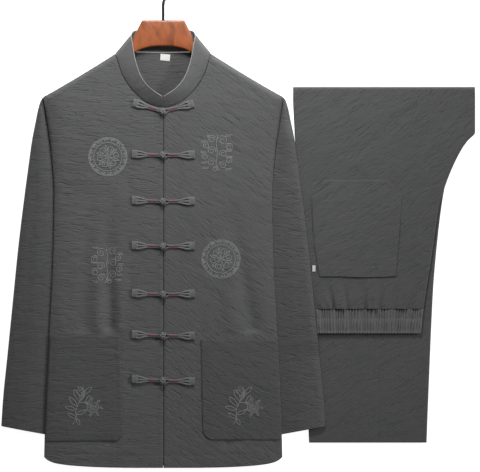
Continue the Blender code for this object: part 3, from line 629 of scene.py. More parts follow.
@dataclass
class Stitching:
    """Runs of topstitch that lie on a surface."""

    workroom: Workroom
    thread: Thread = Thread("sewing_thread", (0.075, 0.076, 0.076))
    stitch: float = 2.6
    gap: float = 0.9
    radius: float = 0.24
    tubes: list = field(default_factory=list)

    def run(self, path: Sequence[Sequence[float]], surface: Callable[[Array, Array], Array]) -> None:
        """Sew along a path.

        Args:
            path: corners of the line, seen from above.
            surface: height of the cloth at each place.
        """
        line = resample(path, 1.0)
        along = np.concatenate([[0.0], np.cumsum(np.linalg.norm(np.diff(line, axis=0), axis=1))])
        pitch = self.stitch + self.gap
        for k in range(int(along[-1] / pitch)):
            at = k * pitch + np.linspace(0.0, self.stitch, 4)
            x, y = np.interp(at, along, line[:, 0]), np.interp(at, along, line[:, 1])
            z = surface(x, y) + np.array([-0.12, 0.16, 0.16, -0.12])
            points, faces = self.workroom.tube(np.stack([x, y, z], -1), self.radius, 4)
            self.tubes.append((points, faces, 0))

    def finish(self, name: str) -> bpy.types.Object:
        """Join the runs sewn so far into one piece."""
        made = self.workroom.bundle(name, self.tubes, [self.thread], "linen")
        self.tubes = []
        return made


@dataclass
class JacketShape:
    """Where the outer side of the jacket's body lies: its outline, its loft and its folds."""

    body: tuple = (
        (0, 204.9, 12.5, 5), (18, 204.7, 12.5, 5), (116, 201.8, 12.5, 5), (228, 196.3, 13.0, 5),
        (391, 188.6, 13.5, 5), (470, 187.6, 14.5, 6), (546, 193.0, 16.5, 8), (589, 199.0, 18.6, 11),
        (622, 204.0, 20.4, 14), (637, 205.5, 20.7, 16), (715, 205.5, 20.7, 16),
    )
    edge_height: float = 5.8
    neck_point: tuple = (82.0, 711.6)
    shoulder_point: tuple = (205.5, 637.3)
    seam_height: float = 9.8
    neck_seam: tuple = (
        (0.3, 617.4), (17.2, 621.6), (32.7, 628.8), (46.4, 640.8), (57.4, 653.1),
        (66.9, 667.6), (73.6, 682.6), (77.9, 696.6), (80.8, 705.6), (82.0, 711.6),
    )
    main_folds: tuple = (
        (-1, 96, 500, 92, 240, 11, -6.5), (-1, 76, 470, 74, 240, 10, 2.0), (-1, 112, 440, 112, 240, 10, 2.2),
        (-1, 128, 530, 136, 240, 14, -3.2), (1, 104, 520, 153, 240, 14, -6.5), (1, 106, 430, 120, 240, 14, 2.4),
        (1, 168, 430, 178, 240, 10, 1.6), (-1, 150, 46, 92, 42, 8, -2.2), (1, 176, 60, 110, 40, 8, -1.6),
    )
    small_folds: tuple = (
        (-1, 58, 372, 55, 300, 6, -1.1), (-1, 60, 214, 57, 140, 7, -1.3), (-1, 62, 560, 58, 470, 8, -0.8),
        (1, 60, 570, 66, 470, 9, -0.7), (1, 110, 350, 118, 300, 7, -0.9), (1, 70, 300, 66, 230, 7, -0.9),
        (-1, 40, 22, 46, 6, 6, -0.9), (-1, 108, 26, 96, 8, 9, -1.0), (1, 44, 24, 60, 8, 8, -0.8),
        (1, 120, 26, 132, 10, 9, 0.9), (1, 90, 200, 140, 165, 9, -1.4), (-1, 180, 330, 176, 250, 8, 0.8),
        (1, 130, 640, 150, 560, 13, -0.7), (-1, 130, 640, 150, 570, 13, -0.6),
    )
    crepes: dict = field(
        default_factory=lambda: {
            Side.RIGHT: Crepe(-6.0, 0.8, 11),
            Side.LEFT: Crepe(-34.0, 0.85, 23),
        }
    )

    def __post_init__(self) -> None:
        """Fit the outline's curves."""
        self.width = SmoothCurve(self.body, 1)
        self.loft = SmoothCurve(self.body, 2)
        self.squareness = SmoothCurve(self.body, 3)
        self.neck = SmoothCurve(self.neck_seam)

    def shoulder(self, x: Array) -> Array:
        """Height of the shoulder seam on the table at a place across."""
        (x0, y0), (x1, y1) = self.neck_point, self.shoulder_point
        share = (x - x0) / (x1 - x0)
        return y0 + (y1 - y0) * share - 6.0 * share * (1.0 - share)

    def top(self, x: Array) -> Array:
        """Upper end of a front at a place across: the neck seam, then the shoulder seam."""
        return np.where(x < self.neck_point[0], self.neck(x), self.shoulder(x))

    def hem(self, x: Array) -> Array:
        """Hem line at a place across."""
        share = np.minimum(1.0, x / 204.9)
        return 10.0 * share**3.5 + 8.0 * share**24

    def fold(self, side: Side, x: Array, y: Array, rows: tuple) -> Array:
        """How far one table of folds lifts a front.

        Args:
            side: which front.
            x: places outwards from the centre front.
            y: places up.
            rows: side, start, end, width and depth of each fold.

        Returns:
            The lift in millimetres.
        """
        total = np.zeros_like(x, float)
        for half, x0, y0, x1, y1, width, depth in rows:
            if half != side.value:
                continue
            run = np.array([x1 - x0, y1 - y0], float)
            share = np.clip(((x - x0) * run[0] + (y - y0) * run[1]) / (run @ run), 0.0, 1.0)
            away = np.hypot(x - x0 - share * run[0], y - y0 - share * run[1])
            fade = 1.0 - smooth_step(min(y0, y1) - y, 0.0, 14.0)
            total += depth * smooth_step(share, 0.0, 1.0) * dent(away, width) * fade
        return total

    def plain(self, side: Side, x: Array, y: Array) -> Array:
        """Height of a front's outer side without its crinkle, x outwards from the centre front."""
        x, y = np.asarray(x, float), np.asarray(y, float)
        share = np.minimum(1.0, x / self.width(y))
        rounding = np.sqrt(np.maximum(0.0, 1.0 - share ** self.squareness(y)))
        height = self.edge_height + (self.loft(y) - self.edge_height) * rounding
        height = height + self.fold(side, x, y, self.main_folds) * rounding
        start, end = np.array(self.neck_point), np.array(self.shoulder_point)
        run = end - start
        share = np.clip(((x - start[0]) * run[0] + (y - start[1]) * run[1]) / (run @ run), 0.0, 1.0)
        away = np.hypot(x - start[0] - share * run[0], y - start[1] - share * run[1])
        roll = 1.0 - (1.0 - np.minimum(1.0, away / 10.0)) ** 2
        return self.seam_height + (height - self.seam_height) * roll

    def front(self, side: Side, x: Array, y: Array) -> Array:
        """Height of a front's outer side with its small folds, crinkle, placket and hem."""
        x, y = np.asarray(x, float), np.asarray(y, float)
        height = self.plain(side, x, y)
        height = height + self.fold(side, x, y, self.small_folds)
        inside = smooth_step(self.width(y) - x, 0.5, 12.0) * smooth_step(self.top(x) - y, 1.0, 12.0)
        placket = smooth_step(x, 24.0, 48.0)
        height = height + self.crepes[side].height(x * side.value, y) * inside * (0.35 + 0.65 * placket)
        height = height - 1.5 * dent(x - 0.2, 1.1)
        ribs = 0.10 * np.cos(2 * math.pi * x / 4.7)
        ribs = ribs * (1.0 - smooth_step(x, 30.0, 40.0)) * smooth_step(x, 3.0, 7.0)
        height = height + ribs * inside
        if side is Side.RIGHT:
            height = height - 0.55 * dent(x - 9.5, 0.9) * smooth_step(self.top(x) - y, 4.0, 16.0)
        above_hem = y - self.hem(x)
        height = height + 0.35 * (1.0 - smooth_step(above_hem, 19.0, 20.5)) - 0.3 * dent(above_hem - 20.0, 1.2)
        return height


@dataclass
class Jacket:
    """The jacket's cloth: fronts, back, sleeves, collar, pockets and label."""

    workroom: Workroom
    shape: JacketShape
    edge_columns: tuple = (0.3, 0.6, 1.0, 1.5, 2.1, 3.0, 4.2, 5.6, 7.2, 8.4, 8.9, 9.5, 10.1, 10.6, 11.8, 13.6)
    side_columns: tuple = (200.4, 202.2, 203.6, 204.6, 205.2, 205.5)
    pockets: tuple = ((Side.RIGHT, 226.5, 46.0, 75.0, 68.0), (Side.LEFT, 219.5, 48.0, 65.0, 68.0))
    pocket_corner: float = 19.0
    pocket_rise: float = 1.85
    sleeve: tuple = (
        (71.4, 278.6, 140.0, 8.6), (116.0, 275.7, 139.0, 9.2), (202.0, 267.1, 134.0, 9.5),
        (288.0, 258.5, 129.0, 9.5), (374.0, 249.9, 124.0, 9.8), (460.0, 239.6, 120.0, 10.0),
        (512.0, 232.7, 120.0, 10.2), (563.0, 225.6, 124.0, 10.6), (598.0, 218.8, 134.0, 10.8),
        (615.0, 215.4, 142.0, 9.2), (630.0, 211.0, 150.0, 5.4), (636.4, 207.2, 152.0, 4.4),
    )
    ring: tuple = (
        ("inner", 1.8, 0.0, 0.0, 0.0, 0.0, 2), ("inner", 30.0, 0.0, 0.0, 0.0, 0.0, 4),
        ("ridge", -11.0, 0.0, 0.0, 0.0, 0.0, 2), ("ridge", 0.0, 0.0, 0.0, 0.0, 1.0, 4),
        ("outer", -3.0, 0.0, 0.4, 0.0, 1.0, 2), ("outer", 0.0, 0.0, 2.4, 0.1, 0.97, 3),
        ("outer", 0.0, -0.07, 3.0, 0.5, 0.93, 7), ("outer", 0.0, -0.25, 3.0, 0.88, 0.72, 9),
        ("outer", 0.0, -0.48, 3.0, 1.0, 0.38, 9), ("outer", 0.0, -0.74, 3.0, 0.7, 0.08, 7),
        ("outer", 0.0, -0.94, 3.0, 0.18, 0.0, 3), ("edge", -0.8, 0.0, 3.0, 0.0, 0.0, 6),
        ("inner", 16.0, 0.0, 3.0, 0.0, 0.0, 2), ("inner", 1.8, 0.0, 2.8, 0.0, 0.0, 1),
        ("inner", 0.0, 0.0, 1.5, 0.0, 0.0, 1),
    )
    sleeve_lift: tuple = ((60, 6.3), (190, 6.4), (226, 12.6), (300, 12.4), (566, 12.0), (600, 0.0), (640, 0.0))
    cuff_slope: float = 0.19
    collar: tuple = (
        (0.3, 617.8, 20.2, 1.6, 637.0, 32.6), (17.2, 622.0, 20.3, 10.0, 642.6, 34.4),
        (32.7, 629.2, 20.5, 20.2, 649.6, 34.6), (46.4, 641.2, 20.7, 30.0, 659.8, 33.6),
        (57.0, 653.5, 20.8, 38.4, 673.0, 31.6), (66.5, 668.0, 20.8, 44.8, 690.0, 29.4),
        (73.2, 683.0, 20.8, 49.0, 706.0, 27.2), (77.5, 697.0, 20.2, 51.6, 721.0, 25.2),
        (80.4, 706.0, 17.4, 53.8, 734.0, 21.6), (81.6, 712.0, 10.4, 55.0, 742.0, 13.6),
        (78.0, 715.2, 4.0, 52.6, 748.4, 5.2), (66.0, 715.6, 0.0, 46.0, 751.6, 0.0),
        (36.0, 714.8, 0.0, 28.0, 753.0, 0.0), (0.0, 714.4, 0.0, 0.0, 753.4, 0.0),
    )
    label_centre: tuple = (3.2, 705.2)
    label_size: tuple = (16.6, 11.4)

    def build(self, trousers_left: Callable[[Array], Array]) -> None:
        """Make every piece.

        Args:
            trousers_left: left edge of the folded trousers at each height on the table.
        """
        self.trousers_left = trousers_left
        for side in Side:
            self.build_front(side)
            self.build_sleeve(side)
        for pocket in self.pockets:
            self.build_pocket(*pocket)
        self.build_back()
        self.build_collar()
        self.build_label()
        self.sew()

    def build_front(self, side: Side) -> None:
        """One front, from the hem to the neck and shoulder seams."""
        middle = np.arange(16.0, 199.0, WEAVE_STEP)
        columns = np.concatenate([self.edge_columns, middle, self.side_columns])
        rise = np.linspace(0.0, 1.0, 300)
        rise = rise - 0.4 * np.sin(2 * math.pi * rise) / (2 * math.pi) * 0.2
        low, high = self.shape.hem(columns), self.shape.top(columns)
        y = low[None, :] + (high - low)[None, :] * rise[:, None]
        x = columns[None, :] / SHOULDER_HALF * self.shape.width(y)
        x[:, 0] = 0.3
        z = self.shape.front(side, x, y)
        name = f"front_cloth_{side.name.lower()}"
        tilt = -6.0 if side is Side.RIGHT else -38.0
        finish = Linen(f"linen_front_{side.name.lower()}", tilt=tilt)
        made = self.workroom.cloth(name, (side.value * x, y, z), finish, flip=side is Side.RIGHT)
        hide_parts(f"jacket_front_{side.name.lower()}")

    def pocket_surface(self, side: Side, x: Array, y: Array) -> Array:
        """Height of a pocket's outer side, x outwards from the centre front."""
        base = self.shape.plain(side, x, y) + self.pocket_rise
        crepe = Crepe(4.0 if side is Side.RIGHT else -24.0, 0.7, 31 + side.value)
        return base + crepe.height(x * side.value, y)

    def pocket_edges(self, mouth: float, bottom: float, top_x: float, low_x: float, y: Array) -> Array:
        """Inner edge of a pocket at each height, rounded at its lower corner."""
        corner = self.pocket_corner
        inner = low_x + (top_x - low_x) * (y - bottom) / (mouth - bottom)
        below = np.clip(corner - (y - bottom), 0.0, corner)
        return inner + corner - np.sqrt(np.maximum(0.0, corner**2 - below**2))

    def build_pocket(self, side: Side, mouth: float, bottom: float, top_x: float, low_x: float) -> None:
        """One patch pocket, its cloth turned under at the sewn edges."""
        up = np.concatenate([[0.0, 0.004, 0.012, 0.025], np.linspace(0.04, 0.985, 74), [0.993, 1.0]])
        across = np.concatenate([[0.0, 0.006, 0.015], np.linspace(0.03, 0.97, 54), [0.985, 0.994, 1.0]])
        y = bottom + (mouth - bottom) * up[:, None] + 0.0 * across[None, :]
        inner = self.pocket_edges(mouth, bottom, top_x, low_x, y)
        outer = self.shape.width(y) * POCKET_SHARE
        x = inner + (outer - inner) * across[None, :]
        z = self.pocket_surface(side, x, y)
        from_edge = np.minimum(np.minimum(x - inner, outer - x), y - bottom)
        z = z - 0.75 * (1.0 - np.sqrt(np.clip(from_edge / 2.2, 0.0, 1.0)))
        z = z - 0.35 * dent(from_edge - 8.0, 1.0) * (y < mouth - 3.0)
        z = z + 0.3 * smooth_step(y, mouth - 21.0, mouth - 19.5) - 0.3 * dent(y - mouth + 20.5, 1.2)
        name = f"pocket_cloth_{side.name.lower()}"
        tilt = 4.0 if side is Side.RIGHT else -28.0
        # The pockets' linen is darker than the fronts': painted shade of the weaker light low on the jacket.
        finish = Linen(f"linen_pocket_{side.name.lower()}", (0.086, 0.088, 0.087), tilt)
        made = self.workroom.cloth(name, (side.value * x, y, z), finish, flip=side is Side.RIGHT)
        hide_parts(f"jacket_pocket_{side.name.lower()}")
        f"front_cloth_{side.name.lower()}"

    def sleeve_grid(self, side: Side) -> tuple[Array, Array, Array]:
        """Points round a sleeve, one row for each section from the cuff to the armhole."""
        levels = np.concatenate([[71.4, 72.0, 73.2], np.arange(75.0, 636.0, WEAVE_STEP), [636.4]])
        outer, inner, crest = (SmoothCurve(self.sleeve, column)(levels) for column in (1, 2, 3))
        width = self.shape.width(levels)
        visible = np.maximum(5.0, outer - width)
        lift = SmoothCurve(self.sleeve_lift)(levels) if side is Side.LEFT else np.zeros_like(levels)
        anchors = {
            "inner": inner,
            "outer": outer,
            "edge": np.minimum(width, outer - visible),
            "ridge": np.minimum(self.trousers_left(levels) - 2.5, outer - 10.0),
        }
        places, shares = [], []
        for anchor, shift, share, base, rise, climb, _ in self.ring:
            across = anchors[anchor] + shift + share * visible
            places.append((across, base + rise * (crest - 3.0) + climb * lift))
        count = len(self.ring)
        x_columns, z_columns = [], []
        for k, row in enumerate(self.ring):
            before, start, end, after = (places[(k + step) % count] for step in (-1, 0, 1, 2))
            for step in range(row[-1]):
                t = step / row[-1]
                blend = []
                for part in (0, 1):
                    p0, p1, p2, p3 = before[part], start[part], end[part], after[part]
                    d1, d2, d3 = (np.hypot(b[0] - a[0], b[1] - a[1]) + 1e-6 for a, b in
                                  ((before, start), (start, end), (end, after)))
                    bent = 4 <= k <= 10
                    m1 = (p2 - p1) + bent * d2 / (d1 + d2) * (((p1 - p0) / d1) * d2 - (p2 - p1))
                    m2 = (p2 - p1) + bent * d2 / (d2 + d3) * (((p3 - p2) / d3) * d2 - (p2 - p1))
                    blend.append(
                        (2 * t**3 - 3 * t**2 + 1) * p1 + (t**3 - 2 * t**2 + t) * m1
                        + (3 * t**2 - 2 * t**3) * p2 + (t**3 - t**2) * m2
                    )
                x_columns.append(blend[0])
                z_columns.append(blend[1])
                shares.append(k + t)
        x, z = np.stack(x_columns, 1), np.stack(z_columns, 1)
        y = levels[:, None] - self.cuff_slope * (outer[:, None] - x)
        top = smooth_step(np.array(shares), 5.0, 6.5) * (1.0 - smooth_step(np.array(shares), 9.5, 10.5))
        crepe = Crepe(84.0 if side is Side.RIGHT else 78.0, 0.5, 41 + side.value, 34.0, 8.0)
        level = Crepe(8.0, 0.6, 47 + side.value)
        z = z + (crepe.height(x, y) + level.height(x * side.value, y)) * top[None, :]
        drape = 0.7 * dent((x - outer[:, None] + 0.36 * visible[:, None]), 7.0) * smooth_step(y, 120.0, 300.0)
        z = z - drape * (1.0 - smooth_step(y, 470.0, 560.0)) * top[None, :]
        z = z + 0.3 * (1.0 - smooth_step(levels, 92.0, 93.5))[:, None] * top[None, :]
        return side.value * x, y, np.maximum(z, 0.0)

    def build_sleeve(self, side: Side) -> None:
        """One sleeve, a flattened tube open at the cuff and the armhole."""
        # The wearer's right sleeve gets a darker tone than the left: painted shade of the sleeve on the side
        # away from the light.
        tone = (0.078, 0.08, 0.079) if side is Side.RIGHT else (0.098, 0.1, 0.099)
        name = side.name.lower()
        finish = Linen(f"linen_sleeve_{name}", tone, 6.0 if side is Side.RIGHT else -12.0)
        grid = self.sleeve_grid(side)
        made = self.workroom.cloth(f"sleeve_cloth_{name}", grid, finish, flip=side is Side.LEFT, closed=True)
        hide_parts(f"jacket_sleeve_{name}")

    def back_height(self, x: Array, y: Array) -> Array:
        """Height of the back's underside, x outwards from the centre."""
        inner = SmoothCurve(self.sleeve, 2)(y)
        height = 3.4 * np.clip((x - inner + 14.0) / 11.0, 0.0, 1.0)
        start, end = np.array(self.shape.neck_point), np.array(self.shape.shoulder_point)
        run = end - start
        share = np.clip(((x - start[0]) * run[0] + (y - start[1]) * run[1]) / (run @ run), 0.0, 1.0)
        away = np.hypot(x - start[0] - share * run[0], y - start[1] - share * run[1])
        return height + (7.2 - height) * np.clip(1.0 - away / 5.0, 0.0, 1.0)

    def build_back(self) -> None:
        """The back, whole across, flat on the table in its middle."""
        half = np.concatenate([np.arange(0.0, 100.0, 4.0), np.arange(100.0, 204.0, 5.2), [204.2, 205.5]])
        rise = np.concatenate([np.linspace(0.0, 0.8, 60), np.linspace(0.806, 1.0, 50)])
        low = self.shape.hem(half) + 3.0
        neck_top = 714.4 + 0.8 * smooth_step(half, 0.0, 66.0) - 0.5
        high = np.where(half < 80.0, neck_top, self.shape.shoulder(half))
        high = np.minimum(high, 714.6)
        y = low[None, :] + (high - low)[None, :] * rise[:, None]
        x = half[None, :] / SHOULDER_HALF * (self.shape.width(y) - 1.8)
        z = self.back_height(x, y)
        neck = smooth_step(y, 560.0, 600.0) * (1.0 - smooth_step(x, 70.0, 90.0))
        crepe = np.maximum(0.0, 0.35 + Crepe(3.0, 0.5, 61).height(x, y))
        z = z + crepe * neck * smooth_step(high - y, 0.5, 6.0)
        grid = [np.concatenate([sign * a[:, :0:-1], a], 1) for sign, a in ((-1, x), (1, y), (1, z))]
        finish = Linen("linen_back", (0.083, 0.085, 0.084), 3.0)
        made = self.workroom.cloth("back_cloth", tuple(grid), finish, flip=True)
        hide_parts("jacket_back")

    def collar_grid(self) -> tuple[Array, Array, Array]:
        """Outer side of the stand collar, from one front end round the back to the other."""
        rows = list(self.collar)
        right = [(-a, b, c, -d, e, f) for a, b, c, d, e, f in rows]
        sections = right + rows[-2::-1]
        keyed = [(k, *row) for k, row in enumerate(sections)]
        ends = np.linspace(0.0, 0.5, 12), np.linspace(25.5, 26.0, 12)[1:]
        fine = np.concatenate([ends[0], np.linspace(0.5, 25.5, 200)[1:], ends[1]])
        sx, sy, sz, tx, ty, tz = (SmoothCurve(keyed, column)(fine)[None, :] for column in range(1, 7))
        up = np.concatenate([np.linspace(0.0, 0.92, 18), [0.95, 0.975, 0.99, 1.0]])[:, None]
        end = np.minimum(fine, 26.0 - fine)[None, :]
        bow = 0.9 * np.sin(math.pi * up) * np.minimum(1.0, sz / 20.0)
        x, y = sx + (tx - sx) * up, sy + (ty - sy) * up
        z = sz + (tz - sz) * up + bow
        seam = dent(up, 0.05) * np.minimum(1.0, sz / 20.0)
        fold = 0.5 * smooth_noise(fine[None, :] * 1.3 + 0.0 * up, up * 2.0 + 0.0 * fine[None, :], 77)
        z = z - 0.5 * seam + fold * smooth_step(end, 0.2, 1.2) * np.minimum(1.0, sz / 20.0)
        z = z - 0.35 * dent(up - 0.88, 0.03) * np.minimum(1.0, sz / 20.0)
        return x, y, np.maximum(z, 0.0)

    def build_collar(self) -> None:
        """The stand collar, and a thin pale cord along its upper edge that is a painted highlight of that edge.
        """
        x, y, z = self.collar_grid()
        finish = Linen("linen_collar", (0.104, 0.106, 0.105), 40.0, 0.7)
        made = self.workroom.cloth("collar_cloth", (x, y, z), finish, flip=True, wall=1.8)
        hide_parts("jacket_collar")
        # A pale cord laid along the collar's upper edge: painted highlight of the rounded edge.
        edge = np.stack([x[-1], y[-1], z[-1] - 0.5 * np.minimum(1.0, z[-1])], -1)
        tube, faces = self.workroom.tube(edge[np.arange(0, len(edge), 2)], 0.75, 6)
        tube[:, 2] = np.maximum(tube[:, 2], 0.05)
        thread = Thread("pale_edge_highlight_cord", (0.3, 0.3, 0.295))
        painted_edge_highlight = self.workroom.bundle("collar_edge_highlight_cord", [(tube, faces, 0)], [thread], "linen")

    def build_label(self) -> None:
        """The blank label in the back neck, its ends lifted a little from the cloth."""
        (w, d), (cx, cy), turn = self.label_size, self.label_centre, math.radians(-5.0)
        u, v = np.meshgrid(np.linspace(-w / 2, w / 2, 25), np.linspace(-d / 2, d / 2, 17))
        x = cx + u * math.cos(turn) - v * math.sin(turn)
        y = cy + u * math.sin(turn) + v * math.cos(turn)
        z = 2.1 + 0.35 * (v / d + 0.5) * np.cos(math.pi * u / w * 0.8) + 0.25 * (2 * u / w) ** 2
        made = self.workroom.cloth("neck_label_tape", (x, y, z), Tape(), wall=0.4, slot="label_tape")
        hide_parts("jacket_neck_label")

    def sew(self) -> None:
        """Topstitch of the placket, hem, pockets and cuffs."""
        needle = Stitching(self.workroom)
        for side in Side:
            def front(x: Array, y: Array, side: Side = side) -> Array:
                """Height of this front."""
                return self.shape.front(side, np.abs(x), y)

            def pocket(x: Array, y: Array, side: Side = side) -> Array:
                """Height of this pocket."""
                return self.pocket_surface(side, np.abs(x), y) - 0.25

            s = side.value
            lines = [4.2, 30.5] if side is Side.LEFT else [11.0, 30.5]
            for x in lines:
                needle.run([(s * x, 24.0), (s * x, float(self.shape.top(np.array(x))) - 8.0)], front)
            hem_x = np.linspace(3.0, 198.0, 60)
            needle.run([(s * x, y) for x, y in zip(hem_x, self.shape.hem(hem_x) + 20.0)], front)
            needle.finish(f"topstitch_front_{side.name.lower()}")
            _, mouth, bottom, top_x, low_x = next(p for p in self.pockets if p[0] is side)
            for inset in (1.4, 8.0):
                y = np.linspace(mouth - 2.0, bottom + inset, 40)
                inner = self.pocket_edges(mouth, bottom, top_x, low_x, np.maximum(y, bottom + 1.0)) + inset
                path = [(s * a, b) for a, b in zip(inner, y)]
                path.append((s * (self.shape.width(bottom) * POCKET_SHARE - inset), bottom + inset))
                path.append((s * (float(self.shape.width(mouth)) * POCKET_SHARE - inset), mouth - 2.0))
                needle.run(path, pocket)
            mouth_y = mouth - 18.5
            needle.run([(s * (top_x + 2.0), mouth_y), (s * 193.0, mouth_y)], pocket)
            needle.finish(f"topstitch_pocket_{side.name.lower()}")
            cuff = self.sleeve_grid(side)
            row = int(np.argmin(np.abs(cuff[1][:, 30] - 84.0)))
            columns = slice(18, 47)
            line = np.stack([part[row, columns] for part in cuff], -1)
            by_x = line[np.argsort(line[:, 0])]

            def sleeve(x: Array, y: Array, by_x: Array = by_x) -> Array:
                """Height of the sleeve along the cuff's stitch line."""
                return np.interp(x, by_x[:, 0], by_x[:, 2])

            needle.run([(x, y) for x, y, _ in line], sleeve)
            needle.finish(f"topstitch_cuff_{side.name.lower()}")


@dataclass
class Frogs:
    """Seven frog closures: knot and loop halves of cord, their stems bound with red thread."""

    workroom: Workroom
    shape: JacketShape
    rows: tuple = (
        (611.6, 16.5, 14.5), (536.6, 2.0, 1.0), (457.0, 2.5, 1.0), (380.0, 2.0, 1.0),
        (297.4, 2.5, 1.5), (226.5, 2.5, 0.0), (149.3, 3.0, -1.0),
    )
    half_length: float = 55.0
    ball: float = 3.9
    cord_radius: float = 1.45
    strand: tuple = ((9.0, 1.75, 1.4, 1.3), (20.0, 1.75, 1.4, 1.3), (27.0, 2.0, 1.5, 1.35),
                     (34.0, 3.4, 1.8, 1.7), (41.0, 4.9, 2.0, 1.9), (47.0, 5.2, 2.0, 1.9))
    middle: tuple = ((25.0, 0.0, 1.6, 1.0), (32.0, 0.0, 1.9, 1.5), (41.0, 0.0, 2.2, 2.0), (47.0, 0.0, 2.3, 2.0))
    bound: tuple = ((9.5, 0.0, 2.1, 1.0), (12.0, 0.0, 2.3, 1.25), (24.0, 0.0, 2.3, 1.25), (27.5, 0.0, 1.9, 0.9))
    turns: tuple = (44.6, 46.7, 48.8, 50.9, 53.0)
    turn_section: tuple = ((-6.7, 0.5), (-6.6, 2.0), (-5.6, 3.3), (-3.0, 3.9), (0.0, 4.0),
                           (3.0, 3.9), (5.6, 3.3), (6.6, 2.0), (6.7, 0.5))

    def lay(self, side: Side, turn: float, y: float, path: Array) -> Array:
        """Carry a path of distance out, way across and height above the front into the layout.

        Args:
            side: the half that the path belongs to.
            turn: slope of the half, in radians.
            y: height of the closure on the table.
            path: the path's points.

        Returns:
            The layout points.
        """
        out = path[:, 0] * math.cos(turn) - path[:, 1] * math.sin(turn)
        up = y + path[:, 0] * math.sin(turn) + path[:, 1] * math.cos(turn)
        own = self.shape.plain(side, np.abs(out), up)
        other = self.shape.plain(Side(-side.value), np.abs(out), up)
        ground = np.where(out >= 0.0, own, other)
        return np.stack([side.value * out, up, ground + 0.35 + path[:, 2]], -1)

    def strand_tubes(self, place: Callable[[Array], Array]) -> list:
        """The stem's two cords, the middle cord of the flare and the red binding."""
        make = self.workroom.tube
        tubes = []
        for table, signs, number in ((self.strand, (-1, 1), 0), (self.middle, (1,), 0), (self.bound, (1,), 1)):
            at = np.linspace(table[0][0], table[-1][0], 24)
            across, height, radius = (SmoothCurve(table, column)(at) for column in (1, 2, 3))
            for sign in signs:
                tubes.append((*make(place(np.stack([at, sign * across, height], -1)), radius, 8), number))
        for distance in self.turns:
            section = np.array(self.turn_section)
            path = np.stack([np.full(len(section), distance), section[:, 0], section[:, 1] - 1.0], -1)
            tubes.append((*make(place(resample(path, 1.1)), 1.12, 7), 0))
        filler = np.array([(43.8, 0.0, 1.5), (54.0, 0.0, 1.5)])
        points, faces = make(place(filler), 5.4, 10, 0.34)
        tubes.append((points, faces, 0))
        return tubes

    def knot(self, place: Callable[[Array], Array]) -> list:
        """A button knot: two rounds of cord woven over a ball, and the stem's ends going into it."""
        along = np.linspace(0.0, 2.0 * math.pi, 150)
        latitude = 0.98 * np.sin(5.0 * along)
        around = 2.0 * along + 0.35
        lift = self.ball + 0.45 * np.sin(10.0 * along + 0.6)
        flat = lift * np.cos(latitude)
        weave = np.stack([flat * np.cos(around), flat * np.sin(around), lift * np.sin(latitude) * 0.92], -1)
        centre = place(np.array([[0.4, 0.0, 4.9]]))[0]
        tubes = [(*self.workroom.tube(centre + weave, self.cord_radius, 8), 0)]
        core = np.stack([np.zeros(9), np.zeros(9), np.linspace(-3.4, 3.4, 9)], -1)
        girth = np.sqrt(np.maximum(0.05, 1.0 - (core[:, 2] / 3.6) ** 2)) * 3.4
        tilted = core[:, [2, 1, 0]]
        tubes.append((*self.workroom.tube(centre + tilted, girth, 10), 0))
        for sign in (-1, 1):
            stem = np.array([(2.0, sign * 1.0, 3.0), (5.0, sign * 1.5, 2.4), (9.5, sign * 1.75, 1.4)])
            tubes.append((*self.workroom.tube(place(resample(stem, 1.2)), 1.3, 8), 0))
        return tubes

    def loop(self, place: Callable[[Array], Array]) -> list:
        """The loop: one cord that leaves the stem, passes under the knot's ball and comes back."""
        angle = np.linspace(-2.5, 2.5, 30)
        eye = np.stack([-5.6 * np.cos(angle), 5.6 * np.sin(angle), np.full(30, 1.35)], -1)
        ends = [np.array([[9.5, sign * 1.75, 1.4], [7.0, sign * 2.4, 1.4]]) for sign in (-1, 1)]
        path = np.concatenate([ends[0], eye, ends[1][::-1]])
        return [(*self.workroom.tube(place(path), 1.3, 8), 0)]

    def build(self) -> None:
        """Make both halves of each closure."""
        cord = Thread("frog_cord", (0.15, 0.153, 0.152), 0.7, 0.0013)
        finishes = [cord, Thread("red_binding", (0.17, 0.014, 0.024))]
        for number, (y, rise_right, rise_left) in enumerate(self.rows, start=1):
            for side, rise, word in ((Side.RIGHT, rise_right, "knot"), (Side.LEFT, rise_left, "loop")):
                turn = math.atan2(rise, self.half_length)

                def place(path: Array, side: Side = side, turn: float = turn, y: float = y) -> Array:
                    """Lay a path of this half on its front."""
                    return self.lay(side, turn, y, path)

                own = self.knot(place) if side is Side.RIGHT else self.loop(place)
                made = self.workroom.bundle(
                    f"frog_{number}_{word}_cord", own + self.strand_tubes(place), finishes, "frog_cord"
                )
                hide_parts(f"frog_{number}_{word}")


